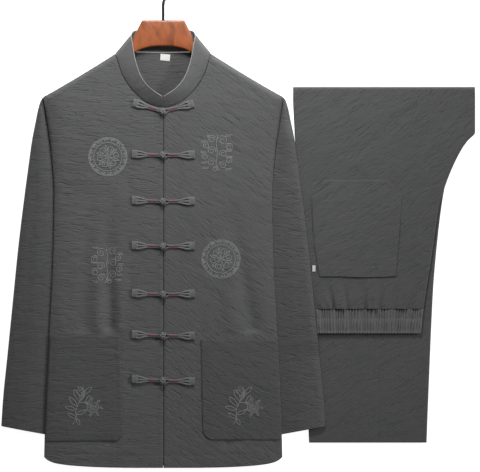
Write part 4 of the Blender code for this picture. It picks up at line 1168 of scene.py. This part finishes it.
@dataclass
class Embroidery:
    """Tone-on-tone embroidery: scrolls, fret rings and sprays in raised cord stitch."""

    workroom: Workroom
    thread: Thread = Thread("embroidery_thread", (0.235, 0.24, 0.238), 0.5)
    radius: float = 0.62
    step: float = 1.0
    strokes: list = field(default_factory=list)

    def arc(
        self, x: float, y: float, radius: float, start: float, sweep: float, end_radius: float | None = None
    ) -> None:
        """Add an arc or a spiral.

        Args:
            x: middle, across.
            y: middle, up.
            radius: radius at the start.
            start: angle where it starts, in degrees.
            sweep: degrees that it turns through.
            end_radius: radius at the end, where it is a spiral.
        """
        last = radius if end_radius is None else end_radius
        angle = np.radians(np.linspace(start, start + sweep, max(8, int(abs(sweep) / 9))))
        size = np.linspace(radius, last, len(angle))
        self.strokes.append(np.stack([x + size * np.cos(angle), y + size * np.sin(angle)], -1))

    def line(self, *corners: tuple[float, float]) -> None:
        """Add a run of straight stitches.

        Args:
            corners: places that it goes through.
        """
        self.strokes.append(np.array(corners, float))

    def leaf(self, x: float, y: float, heading: float, length: float, width: float) -> None:
        """Add a pointed leaf.

        Args:
            x: its foot, across.
            y: its foot, up.
            heading: direction that it points in, in degrees.
            length: its length.
            width: its greatest width.
        """
        share = np.linspace(0.0, 1.0, 14)
        turn = math.radians(heading)
        for sign in (-1, 1):
            u, v = length * share, sign * width / 2 * np.sin(math.pi * share) ** 0.8
            across = x + u * math.cos(turn) - v * math.sin(turn)
            self.strokes.append(np.stack([across, y + u * math.sin(turn) + v * math.cos(turn)], -1))

    def medallion(self, radius: float) -> None:
        """A round of two rings with a fret between them, and a scrolled blossom inside.

        Args:
            radius: its outer radius.
        """
        inner = 0.74 * radius
        for ring in (radius, radius - 1.8, inner):
            self.arc(0.0, 0.0, ring, 0.0, 360.0)
        units, low, high = 16, inner + 1.6, radius - 3.2
        for k in range(units):
            base = 360.0 * k / units
            hook = (
                (0.0, low), (0.0, high), (13.0, high), (13.0, low + 1.6),
                (5.5, low + 1.6), (5.5, high - 2.0), (9.0, high - 2.0),
            )
            turns = [(math.radians(base + a), r) for a, r in hook]
            self.line(*((r * math.cos(a), r * math.sin(a)) for a, r in turns))
        for k in range(6):
            turn = math.radians(60.0 * k + 12.0)
            x, y = 0.4 * radius * math.cos(turn), 0.4 * radius * math.sin(turn)
            self.arc(x, y, 0.19 * radius, 60.0 * k - 120.0, 480.0, 0.05 * radius)
            foot = 0.12 * radius * math.cos(turn + 0.5), 0.12 * radius * math.sin(turn + 0.5)
            self.leaf(*foot, 60.0 * k + 42.0, 0.5 * radius, 4.0)
        self.arc(0.0, 0.0, 0.11 * radius, 0.0, 360.0)
        self.arc(0.0, 0.0, 0.05 * radius, 0.0, 360.0)

    def clouds(self, width: float, height: float) -> None:
        """Scrolling clouds about an upright stem, with short bars beside it.

        Args:
            width: width of the motif.
            height: height of the motif.
        """
        w, h = width / 2, height / 2
        stem = ((0.04, 0.95), (-0.05, 0.5), (0.02, 0.0), (-0.06, -0.55), (0.1, -0.95))
        self.line(*((x * w, y * h) for x, y in stem))
        for x, y, size, start, sweep in (
            (-0.3, 0.72, 0.24, 20.0, 560.0), (0.34, 0.66, 0.28, 160.0, -560.0),
            (-0.62, 0.38, 0.22, 60.0, 520.0), (0.72, 0.3, 0.24, 120.0, -540.0),
            (-0.34, 0.12, 0.26, -20.0, 540.0), (0.36, -0.06, 0.24, 200.0, -520.0),
            (-0.7, -0.2, 0.22, 70.0, 560.0), (0.7, -0.38, 0.22, 110.0, -560.0),
            (-0.34, -0.5, 0.24, 10.0, 540.0), (0.34, -0.66, 0.24, 180.0, -540.0),
            (-0.12, -0.86, 0.16, 30.0, 480.0),
        ):
            self.arc(x * w, y * h, size * w, start, sweep, 0.06 * w)
        for x, y, reach, rise in (
            (-0.95, 0.62, 0.3, 0.02), (-0.98, 0.08, 0.34, -0.02), (0.48, 0.92, 0.42, 0.03),
            (0.5, 0.48, 0.42, -0.02), (0.46, 0.12, 0.5, 0.02), (-0.9, -0.5, 0.36, 0.03),
            (0.52, -0.2, 0.42, 0.0), (0.5, -0.86, 0.4, 0.04), (-0.86, -0.76, 0.4, 0.0), (-0.6, 0.9, 0.2, 0.03),
        ):
            self.line((x * w, y * h), ((x + reach) * w, (y + rise) * h))
            self.line((x * w, (y - 0.07) * h), ((x + 0.8 * reach) * w, (y - 0.07 + rise) * h))

    def spray(self, width: float, height: float) -> None:
        """A spray of long leaves on a bent stem, with a rolled blossom at its side.

        Args:
            width: width of the motif.
            height: height of the motif.
        """
        w, h = width / 2, height / 2
        stem = ((-0.5, -1.0), (-0.3, -0.7), (-0.34, -0.3), (-0.16, 0.1), (0.1, 0.4), (0.06, 0.9))
        self.line(*((x * w, y * h) for x, y in stem))
        self.line((-0.16 * w, 0.1 * h), (0.3 * w, 0.06 * h), (0.62 * w, -0.14 * h))
        for x, y, heading, length, breadth in (
            (-0.3, -0.7, 150.0, 0.5, 0.16), (-0.32, -0.5, 20.0, 0.5, 0.16),
            (-0.34, -0.26, 165.0, 0.55, 0.18), (-0.26, -0.1, 130.0, 0.62, 0.2),
            (-0.1, 0.16, 118.0, 0.66, 0.2), (-0.02, 0.24, 72.0, 0.5, 0.16),
            (0.08, 0.4, 140.0, 0.5, 0.16), (0.08, 0.5, 40.0, 0.55, 0.18),
            (0.06, 0.72, 150.0, 0.3, 0.12), (0.24, 0.08, 60.0, 0.42, 0.16),
            (-0.3, -0.72, 300.0, 0.34, 0.14),
        ):
            self.leaf(x * w, y * h, heading, length * h, breadth * h)
        for size in (0.34, 0.25, 0.16):
            self.arc(0.62 * w, -0.14 * h, size * w, 40.0 + 200.0 * size, 330.0, size * w * 0.86)
        self.arc(0.62 * w, -0.14 * h, 0.08 * w, 0.0, 360.0)
        for k in range(7):
            turn = math.radians(51.4 * k)
            foot = 0.62 * w + 0.36 * w * math.cos(turn), -0.14 * h + 0.36 * w * math.sin(turn)
            self.leaf(*foot, 51.4 * k - 24.0, 0.17 * h, 0.09 * h)

    def place(
        self, name: str, x: float, y: float, surface: Callable[[Array, Array], Array], flip: bool = False
    ) -> None:
        """Sew the strokes drawn so far onto a surface.

        Args:
            name: the piece's name.
            x: middle of the motif, across.
            y: middle of the motif, up.
            surface: height of the cloth at each place.
            flip: whether the motif is turned left to right.
        """
        tubes = []
        for stroke in self.strokes:
            line = resample(stroke, self.step)
            across = x + (-line[:, 0] if flip else line[:, 0])
            up = y + line[:, 1]
            height = surface(across, up) + 0.22
            path = np.stack([across, up, height], -1)
            tubes.append((*self.workroom.tube(path, self.radius, 6, 0.75), 0))
        self.workroom.bundle(name, tubes, [self.thread], "linen")
        self.strokes = []

    def build(self, shape: JacketShape, pocket: Callable[[Side, Array, Array], Array]) -> None:
        """Sew two rounds and two cloud groups on the fronts and a spray on each pocket.

        Args:
            shape: form of the jacket's fronts.
            pocket: height of a pocket, from its side and places.
        """
        def front(side: Side) -> Callable[[Array, Array], Array]:
            """Height of one front."""
            return lambda x, y: shape.front(side, np.abs(x), y)

        for name, side, x, y in (("right", Side.RIGHT, -95.0, 534.0), ("left", Side.LEFT, 99.2, 358.6)):
            self.medallion(33.0)
            self.place(f"embroidered_round_{name}", x, y, front(side))
        for name, side, x, y in (("left", Side.LEFT, 92.4, 541.0), ("right", Side.RIGHT, -96.8, 348.0)):
            self.clouds(58.0, 65.0)
            self.place(f"embroidered_clouds_{name}", x, y, front(side), side is Side.RIGHT)
        for name, side, x in (("right", Side.RIGHT, -139.8), ("left", Side.LEFT, 135.4)):
            def surface(a: Array, b: Array, side: Side = side) -> Array:
                """Height of one pocket."""
                return pocket(side, np.abs(a), b)

            self.spray(62.0, 69.0)
            self.place(f"embroidered_spray_{name}", x, 109.0, surface)


@dataclass
class Hanger:
    """Flat wooden hanger with rounded edges and its wire hook."""

    workroom: Workroom
    stations: tuple = (
        (187.4, 636.2, 187.2, 634.4), (186.6, 639.6, 185.6, 632.2), (184.0, 642.6, 182.6, 631.0),
        (180.0, 645.6, 178.6, 631.0), (172.0, 650.1, 170.0, 634.9), (160.0, 656.6, 160.0, 640.2),
        (129.0, 673.8, 129.0, 655.6), (97.0, 691.0, 97.0, 672.6), (80.0, 700.5, 80.0, 685.5),
        (70.5, 708.0, 62.0, 702.0), (62.0, 719.5, 51.0, 711.6), (54.5, 732.0, 38.0, 718.6),
        (48.0, 745.0, 26.0, 722.0), (37.6, 766.6, 14.0, 723.9), (36.0, 768.8, 12.0, 724.1),
    )
    bottom: float = 5.2
    thickness: float = 12.0
    edge: float = 3.6
    hook: tuple = (
        (0.0, 762.0), (0.0, 769.1), (0.0, 782.0), (0.0, 795.0), (1.4, 802.6), (7.0, 809.0), (13.2, 817.0),
        (14.6, 827.0), (9.6, 836.4), (0.0, 840.0), (-9.6, 836.6), (-15.2, 828.0), (-16.0, 818.0),
    )
    wire: float = 2.5

    def build(self) -> None:
        """Make the wood and the hook."""
        self.build_wood()
        self.build_hook()

    def section(self) -> Array:
        """Closed ring of a cross section: share of the way up the wood, inset from its edge, and height."""
        r, top, low = self.edge, self.bottom + self.thickness, self.bottom
        quarter = np.linspace(0.0, math.pi / 2, 7)
        rise = [(0.0, r * (1 - math.sin(a)), low + r * (1 - math.cos(a))) for a in quarter]
        rise += [(0.0, r * (1 - math.sin(a)), top - r * (1 - math.cos(a))) for a in quarter[::-1]]
        crown = [(share, 0.0, top + 0.35 * math.sin(math.pi * share)) for share in (0.3, 0.5, 0.7)]
        fall = [(1.0, -inset, z) for _, inset, z in rise[::-1]]
        return np.array(rise + crown + fall + [(0.5, 0.0, low)])

    def build_wood(self) -> None:
        """The wooden body, its edges rounded and its faces a little crowned."""
        right = [row for row in self.stations]
        rows = [(-a, b, -c, d) for a, b, c, d in right] + right[::-1]
        line = resample(rows, 2.0)
        soft = line.copy()
        soft[1:-1] = 0.25 * line[:-2] + 0.5 * line[1:-1] + 0.25 * line[2:]
        upper, lower = soft[:, :2], soft[:, 2:]
        way = upper - lower
        height = np.linalg.norm(way, axis=1, keepdims=True)
        way = way / height
        ring = self.section()
        squeeze = np.minimum(1.0, height / (2.2 * self.edge))
        reach = ring[None, :, 0] * height + ring[None, :, 1] * squeeze
        flat = lower[:, None] + way[:, None] * reach[:, :, None]
        points = np.concatenate([flat, np.broadcast_to(ring[None, :, 2:], (*flat.shape[:2], 1))], -1)
        count, rows_made = len(ring), len(soft)
        faces = [
            (k * count + i, (k + 1) * count + i, (k + 1) * count + (i + 1) % count, k * count + (i + 1) % count)
            for k in range(rows_made - 1)
            for i in range(count)
        ]
        faces.append(tuple(range(count)))
        faces.append(tuple(range((rows_made - 1) * count, rows_made * count))[::-1])
        made = self.workroom.piece("hanger_body", points.reshape(-1, 3), faces, [Mahogany()], "hanger_wood")
        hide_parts("hanger_wood")

    def build_hook(self) -> None:
        """The bent wire hook with a rounded tip."""
        route = np.array(self.hook, float)
        keys = np.concatenate([[0.0], np.cumsum(np.linalg.norm(np.diff(route, axis=0), axis=1))])
        line = []
        for k in range(len(route) - 1):
            before, start, end = route[max(0, k - 1)], route[k], route[k + 1]
            after = route[min(len(route) - 1, k + 2)]
            for t in np.arange(0.0, 1.0, 0.1):
                line.append(
                    0.5 * (2 * start + (end - before) * t + (2 * before - 5 * start + 4 * end - after) * t**2
                           + (3 * start - before - 3 * end + after) * t**3)
                )
        line.append(route[-1])
        line = np.array(line)
        middle = self.bottom + self.thickness / 2
        radius = np.full(len(line), self.wire)
        radius[-4:] = self.wire * np.array([0.98, 0.86, 0.6, 0.25])
        LOG.info("hook wire %.0f mm long", keys[-1])
        tube = self.workroom.tube(np.column_stack([line, np.full(len(line), middle)]), radius, 18)
        made = self.workroom.bundle("hook_wire_bend", [(*tube, 0)], [Wire()], "hook_wire")
        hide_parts("hanger_hook")


@dataclass
class Trousers:
    """The trousers, folded over crosswise twice, with their gathered waistband and patch pocket."""

    workroom: Workroom
    upper: tuple = (
        (229.0, 240.4, 442.4), (231.0, 240.3, 442.6), (271.6, 238.6, 447.0), (317.3, 236.6, 453.6),
        (365.5, 234.6, 461.3), (408.5, 232.7, 467.4), (451.5, 230.9, 474.2), (480.0, 229.7, 483.0),
        (511.7, 228.3, 495.0), (546.0, 226.8, 512.0), (563.0, 226.1, 524.0), (576.0, 225.5, 535.8),
        (640.0, 222.8, 535.8), (654.5, 223.6, 535.0),
    )
    lower: tuple = (
        (43.0, 250.6, 452.7), (81.7, 248.8, 454.1), (176.3, 244.4, 457.9), (245.1, 241.2, 460.8),
        (313.9, 238.0, 464.4), (391.3, 234.4, 471.3), (460.1, 231.2, 479.9), (494.5, 229.6, 487.0),
        (528.9, 228.0, 502.0), (556.0, 226.8, 518.0), (576.0, 225.8, 533.6), (654.5, 222.2, 534.0),
    )
    leg_top: float = 5.7
    seat_top: float = 11.2
    fold_y: float = 654.5
    fold_end: float = 645.5
    hem: float = 22.0
    ply: float = 1.2
    inset: float = 3.6
    gathers: int = 8
    gather_depth: float = 4.6
    gather_reach: float = 62.0
    band: tuple = (272.4, 231.0)
    band_top: float = 11.1
    ruffles: int = 44
    pocket: tuple = (
        (328.0, 268.5, 399.8), (346.0, 265.0, 401.2), (380.0, 259.6, 404.0),
        (420.0, 256.6, 407.0), (466.0, 254.6, 410.0), (494.5, 276.0, 387.0),
    )
    tab_low: tuple = (261.5, 337.0)
    tab_size: tuple = (5.4, 10.5)

    def __post_init__(self) -> None:
        """Fit the edges' curves."""
        self.upper_left, self.upper_right = SmoothCurve(self.upper, 1), SmoothCurve(self.upper, 2)
        self.lower_left, self.lower_right = SmoothCurve(self.lower, 1), SmoothCurve(self.lower, 2)
        self.crepe = Crepe(44.0, 0.85, 71)

    def left(self, y: Array) -> Array:
        """Left edge of the stack, whichever layer reaches further."""
        upper = np.where(np.asarray(y) > self.band[1] - 4.0, self.upper_left(y), 1000.0)
        return np.minimum(upper, self.lower_left(y))

    def seat_height(self, x: Array, y: Array) -> Array:
        """Height of the seat's outer side with its gathers and crinkle."""
        left, right = self.upper_left(y), self.upper_right(y)
        share = (x - left) / (right - left)
        rise = np.clip((y - self.band[0]) / self.gather_reach, 0.0, 1.5)
        fade = 1.0 - smooth_step(y, self.band[0], self.band[0] + self.gather_reach)
        ends = smooth_step(share, 0.08, 0.18) * (1.0 - smooth_step(share, 0.93, 1.0))
        fan = share - 0.2 * (share - 0.62) * rise
        fan = fan + 0.012 * np.sin(share * 19.0) + 0.006 * np.sin(share * 43.0 + 2.0)
        wave = 1.0 - (0.5 + 0.5 * np.cos(2 * math.pi * self.gathers * fan)) ** 3
        fine = 0.5 - 0.5 * np.cos(2 * math.pi * (2.4 * self.gathers) * fan + 1.0)
        near_band = 1.0 - smooth_step(y, self.band[0], self.band[0] + 18.0)
        strength = 0.75 + 0.25 * np.sin(share * 23.0 + 1.0)
        height = self.seat_top + self.gather_depth * wave * fade * ends * strength
        height = height + 1.3 * fine * near_band * ends - 0.8 * near_band
        near = np.minimum(x - left, right - x)
        roll = (1.0 - np.clip(near / 3.0, 0.0, 1.0)) ** 2
        calm = smooth_step(near, 1.0, 10.0)
        broad = 0.6 * smooth_noise((x + 0.7 * y) / 60.0, (y - 0.7 * x) / 26.0, 83)
        return height + (self.crepe.height(x, y) * (1.0 - 0.5 * fade) + broad) * calm - 1.6 * roll

    def build(self) -> None:
        """Make every piece from the table up."""
        self.build_plies()
        self.build_leg()
        self.build_seat()
        self.build_band()
        self.build_pocket()
        self.build_tab()
        self.sew()

    def build_plies(self) -> None:
        """The hidden plies: each a thin layer of cloth with rounded edges."""
        points, faces = [], []
        stacks = [(self.lower_left, self.lower_right, 45.0, 641.5, 0.15 + k * self.ply) for k in range(3)]
        stacks += [(self.upper_left, self.upper_right, 234.0, 641.5, 6.3 + k * self.ply) for k in range(3)]
        for left, right, low, high, base in stacks:
            y = np.concatenate([[low, low + 1.0], np.arange(low + 6.0, high - 4.0, 8.0), [high - 1.0, high]])
            outline = np.concatenate([
                np.column_stack([right(y) - self.inset, y]),
                np.column_stack([left(y[::-1]) + self.inset, y[::-1]]),
            ])
            centre = np.array([345.0, (low + high) / 2])
            count, start = len(outline), sum(len(p) for p in points)
            for inset, z in ((0.5, 0.0), (0.0, 0.25), (0.0, 0.7), (0.5, 0.95)):
                shrunk = outline + np.sign(centre - outline) * inset
                points.append(np.column_stack([shrunk, np.full(count, base + z)]))
            for k in range(3):
                for i in range(count):
                    a, b = start + k * count + i, start + k * count + (i + 1) % count
                    faces.append((a, b, b + count, a + count))
            rows = len(y)
            for level, turned in ((0, True), (3, False)):
                first = start + level * count
                for i in range(rows - 1):
                    quad = (first + i, first + i + 1, first + count - 2 - i, first + count - 1 - i)
                    faces.append(quad[::-1] if turned else quad)
        # The plies get a much darker linen than the rest of the trousers: painted shade in the gap between the
        # folded stacks.
        finish = Linen("linen_plies", (0.06, 0.061, 0.06), 40.0)
        made = self.workroom.piece("trousers_plies", np.concatenate(points), faces, [finish], "linen")
        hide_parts("trousers_layers")

    def panel_rows(self, left: Callable, right: Callable, y: Array, columns: int) -> tuple[Array, Array]:
        """Places across of a panel with close columns at both edges.

        Args:
            left: its left edge at each height.
            right: its right edge at each height.
            y: heights of its rows.
            columns: columns between the close ones.

        Returns:
            Places across and up of every point.
        """
        even = np.linspace(0.016, 0.984, columns)
        share = np.concatenate([[0.0, 0.002, 0.005, 0.01], even, [0.99, 0.995, 0.998, 1.0]])
        across = left(y)[:, None] + (right(y) - left(y))[:, None] * share[None, :]
        return across, np.repeat(y[:, None], len(share), 1)

    def leg_height(self, x: Array, y: Array) -> Array:
        """Height of the lower leg's outer side, with its doubled hem and pressed crease."""
        left, right = self.lower_left(y), self.lower_right(y)
        near = np.minimum(x - left, right - x)
        roll = (1.0 - np.clip(near / 3.0, 0.0, 1.0)) ** 2
        calm = smooth_step(near, 1.0, 9.0) * smooth_step(y, 43.0, 50.0)
        height = self.leg_top + 0.45 * (1.0 - smooth_step(y, 64.0, 66.0)) - 0.3 * dent(y - 65.0, 1.2)
        crease = -0.45 * dent(x - 371.0 - 0.02 * (y - 200.0), 2.2)
        waves = 0.5 * smooth_noise(x / 40.0, y / 90.0, 87)
        return height + (self.crepe.height(x + 50.0, y) * 0.8 + crease + waves) * calm - 1.4 * roll

    def build_leg(self) -> None:
        """The leg below the upper fold, down to its hem."""
        shown, hidden = np.arange(45.5, 270.0, WEAVE_STEP), np.arange(272.0, 628.0, 6.0)
        y = np.concatenate([[43.0, 43.4, 44.2], shown, hidden, [628.0]])
        x, y = self.panel_rows(self.lower_left, self.lower_right, y, 84)
        z = self.leg_height(x, y) - 0.6 * (1.0 - np.clip((y - 43.0) / 1.6, 0.0, 1.0)) ** 2
        finish = Linen("linen_leg", (0.092, 0.094, 0.093), 40.0)
        made = self.workroom.cloth("lower_leg_cloth", (x, y, z), finish)
        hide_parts("trousers_lower_leg")

    def build_seat(self) -> None:
        """The seat and upper leg, from the waistband up and round the crosswise fold to the table."""
        y = np.concatenate([[272.9, 273.6], np.arange(275.0, 642.0, WEAVE_STEP), [644.0, 646.5]])
        x, y = self.panel_rows(self.upper_left, self.upper_right, y, 118)
        z = self.seat_height(x, y)
        radius = self.seat_top / 2
        angle = np.linspace(0.0, math.pi, 17)[:, None]
        bend_y = self.fold_y - radius + radius * np.sin(angle) + 0.0 * x[:1]
        bend_z = radius + radius * np.cos(angle) + 0.0 * x[:1]
        last = z[-1:] - self.seat_top
        bend_z = np.maximum(0.0, bend_z + last * np.maximum(0.0, np.cos(angle)))
        bend_x = np.repeat(x[-1:], len(angle), 0)
        end = (x[-1:], np.full_like(x[-1:], self.fold_end), np.zeros_like(x[-1:]))
        rows = (x, bend_x, end[0]), (y, bend_y, end[1]), (z, bend_z, end[2])
        grid = tuple(np.concatenate(parts) for parts in rows)
        made = self.workroom.cloth("seat_cloth", grid, Linen("linen_seat", (0.086, 0.088, 0.087), 40.0))
        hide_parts("trousers_seat")

    def build_band(self) -> None:
        """The elastic waistband, drawn up in close ruffles and pinched along its rows of stitches."""
        rows, columns = 34, self.ruffles * 8
        up = np.linspace(0.0, 1.0, rows)[:, None]
        across = np.linspace(0.0, 1.0, columns + 1)[None, :]
        y = self.band[1] + (self.band[0] - self.band[1]) * up
        jitter = 0.9 * np.sin(across * 61.0) + 0.7 * np.sin(across * 37.0 + 1.0)
        phase = 2 * math.pi * (self.ruffles * across) + jitter + 0.9 * np.sin(up * 4.0 + across * 43.0)
        wave = 1.0 - (0.5 + 0.5 * np.cos(phase)) ** 1.6
        uneven = 0.75 + 0.35 * np.sin(across * 83.0 + 2.0 * up) * np.sin(across * 29.0)
        depth = (0.9 + 1.9 * np.abs(np.sin(math.pi * 2 * (up - 0.1))) ** 0.6) * uneven
        left, right = self.upper_left(y), self.upper_right(y)
        x = left + (right - left) * across
        near = np.minimum(x - left, right - x)
        z = self.band_top - 1.0 + depth * wave - 0.9 * (1.0 - np.clip(near / 2.5, 0.0, 1.0)) ** 2
        frill = (1.0 - smooth_step(up, 0.0, 0.12)) * (wave - 0.5)
        y = y - 1.1 * frill + 0.0 * x
        finish = Linen("linen_band", (0.13, 0.132, 0.131), 90.0, 0.5)
        made = self.workroom.cloth("waistband_cloth", (x, y, z), finish)
        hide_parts("trousers_waistband")

    def pocket_height(self, x: Array, y: Array) -> Array:
        """Height of the patch pocket's outer side."""
        left, right = self.upper_left(y), self.upper_right(y)
        share = (x - left) / (right - left)
        fade = 1.0 - smooth_step(y, self.band[0], self.band[0] + self.gather_reach)
        base = self.seat_top + 1.7 + 0.5 * fade * (0.5 - 0.5 * np.cos(2 * math.pi * self.gathers * share))
        return base + Crepe(40.0, 0.75, 91).height(x, y)

    def build_pocket(self) -> None:
        """The patch pocket, its edges turned under."""
        up = np.concatenate([[0.0, 0.004, 0.012], np.linspace(0.022, 0.975, 68), [0.988, 0.996, 1.0]])
        across = np.concatenate([[0.0, 0.006, 0.015], np.linspace(0.03, 0.97, 56), [0.985, 0.994, 1.0]])
        y = POCKET_MOUTH + (POCKET_END - POCKET_MOUTH) * up[:, None] + 0.0 * across[None, :]
        keys, lefts, rights = (np.array([row[k] for row in self.pocket]) for k in range(3))
        left, right = np.interp(y, keys, lefts), np.interp(y, keys, rights)
        x = left + (right - left) * across[None, :]
        sway = 1.2 * np.sin(math.pi * 2.2 * across[None, :] + 0.6)
        y = y + sway * (1.0 - smooth_step(y, POCKET_MOUTH, POCKET_MOUTH + 22.0)) * 0.6
        z = self.pocket_height(x, y)
        from_edge = np.minimum(np.minimum(x - left, right - x), POCKET_END - y)
        z = z - 0.75 * (1.0 - np.sqrt(np.clip(from_edge / 2.0, 0.0, 1.0)))
        z = z + 0.3 * (1.0 - smooth_step(y, 345.0, 346.5)) - 0.3 * dent(y - 346.0, 1.1)
        finish = Linen("linen_trouser_pocket", (0.09, 0.092, 0.091), 36.0)
        made = self.workroom.cloth("trouser_pocket_cloth", (x, y, z), finish)
        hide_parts("trousers_pocket")

    def build_tab(self) -> None:
        """The small blank tab at the pocket's side, a strip folded in half."""
        width, length = self.tab_size
        x0, y0 = self.tab_low[0] - width, self.tab_low[1]
        bend = (x0 + 0.4, 0.85), (x0, 0.6), (x0 + 0.4, 0.35)
        path = resample([(x0 + width, 0.85), *bend, (x0 + width, 0.35)], 0.5)
        y = np.linspace(y0, y0 + length, 14)[:, None]
        x = np.repeat(path[None, :, 0], 14, 0)
        base = self.seat_height(np.full(14, x0 + width / 2), y[:, 0])[:, None]
        z = base + 0.25 + path[None, :, 1] + 0.12 * np.sin((y - y0) / length * math.pi)
        grid = x, np.repeat(y, x.shape[1], 1), z
        made = self.workroom.cloth("pocket_tab_tape", grid, Tape(), flip=True, wall=0.2, slot="label_tape")
        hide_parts("trousers_pocket_tab")

    def sew(self) -> None:
        """Topstitch of the pocket, its mouth's hem and the leg's hem."""
        needle = Stitching(self.workroom)

        def pocket(x: Array, y: Array) -> Array:
            """Height of the pocket under a stitch."""
            return self.pocket_height(x, y) - 0.25

        for inset in (1.4, 8.0):
            low = [(left + inset, y) for y, left, _ in self.pocket[:-1]]
            high = [(right - inset, y) for y, _, right in self.pocket[:-1]]
            _, far_left, far_right = self.pocket[-1]
            far, slant = POCKET_END - inset, 0.45 * inset
            corners = [(far_left + slant, far), (far_right - slant, far)]
            needle.run(low + corners + high[::-1], pocket)
        needle.run([(266.0, 344.5), (399.5, 344.5)], pocket)
        needle.finish("topstitch_trouser_pocket")
        needle.run([(253.0, 63.0), (450.0, 63.0)], self.leg_height)
        needle.finish("topstitch_leg_hem")


@dataclass
class Studio:
    """Camera straight above the table, a soft light from beyond its far edge, a lower one from the right,
    an even sky and a pale floor."""

    workroom: Workroom
    centre: tuple = (0.0033, -0.02305)
    width: float = 0.8256
    distance: float = 7.0
    top_place: tuple = (-0.05, 0.76, 0.6)
    top_aim: tuple = (-0.02, 0.0, 0.0)
    top_power: float = 7.0
    top_size: float = 0.32
    side_from: tuple = (0.80, 0.30, 0.55)
    side_power: float = 1.15
    side_angle: float = 9.0
    sky: float = 0.18

    def add_light(self, name: str, kind: str, place: tuple, aim: tuple) -> bpy.types.Light:
        """Hang one light.

        Args:
            name: its name.
            kind: its type.
            place: where it hangs.
            aim: what it looks at.

        Returns:
            The light's settings.
        """
        lamp = bpy.data.lights.new(name, kind)
        held = bpy.data.objects.new(name, lamp)
        held.location = place
        held.rotation_euler = (Vector(aim) - Vector(place)).to_track_quat("-Z", "Y").to_euler()
        bpy.context.scene.collection.objects.link(held)
        return lamp

    def build(self) -> None:
        """Set the view, the lights and the floor."""
        scene = bpy.context.scene
        scene.view_settings.view_transform = "Standard"
        camera = bpy.data.cameras.new("view")
        camera.sensor_width = 36.0
        camera.lens = 36.0 * self.distance / self.width
        camera.clip_end = 20.0
        eye = bpy.data.objects.new("view", camera)
        eye.location = (*self.centre, self.distance)
        scene.collection.objects.link(eye)
        scene.camera = eye
        top = self.add_light("far_light", "AREA", self.top_place, self.top_aim)
        top.shape = "DISK"
        top.size = self.top_size
        top.energy = self.top_power
        side = self.add_light("side_light", "SUN", self.side_from, (0.0, 0.0, 0.0))
        side.angle = math.radians(self.side_angle)
        side.energy = self.side_power
        world = bpy.data.worlds.new("sky")
        world.use_nodes = True
        backdrop = world.node_tree.nodes["Background"]
        backdrop.inputs["Color"].default_value = (1.0, 1.0, 1.0, 1.0)
        backdrop.inputs["Strength"].default_value = self.sky
        scene.world = world
        self.build_floor()

    def build_floor(self) -> None:
        """A wide plain floor just under the set."""
        reach, level = 4.0, -0.0004
        mesh = bpy.data.meshes.new("floor")
        signs = (-1, -1), (1, -1), (1, 1), (-1, 1)
        corners = [(across * reach, up * reach, level) for across, up in signs]
        mesh.from_pydata(corners, [], [(0, 1, 2, 3)])
        mesh.materials.append(self.workroom.material(Paper()))
        floor = bpy.data.objects.new("floor", mesh)
        bpy.context.scene.collection.objects.link(floor)


def main() -> None:
    """Build the studio and then the set, from the table up."""
    logging.basicConfig(level=logging.INFO)
    workroom = Workroom()
    Studio(workroom).build()
    trousers = Trousers(workroom)
    trousers.build()
    shape = JacketShape()
    jacket = Jacket(workroom, shape)
    jacket.build(trousers.left)
    Hanger(workroom).build()
    Frogs(workroom, shape).build()
    Embroidery(workroom).build(shape, jacket.pocket_surface)


if __name__ == "__main__":
    main()
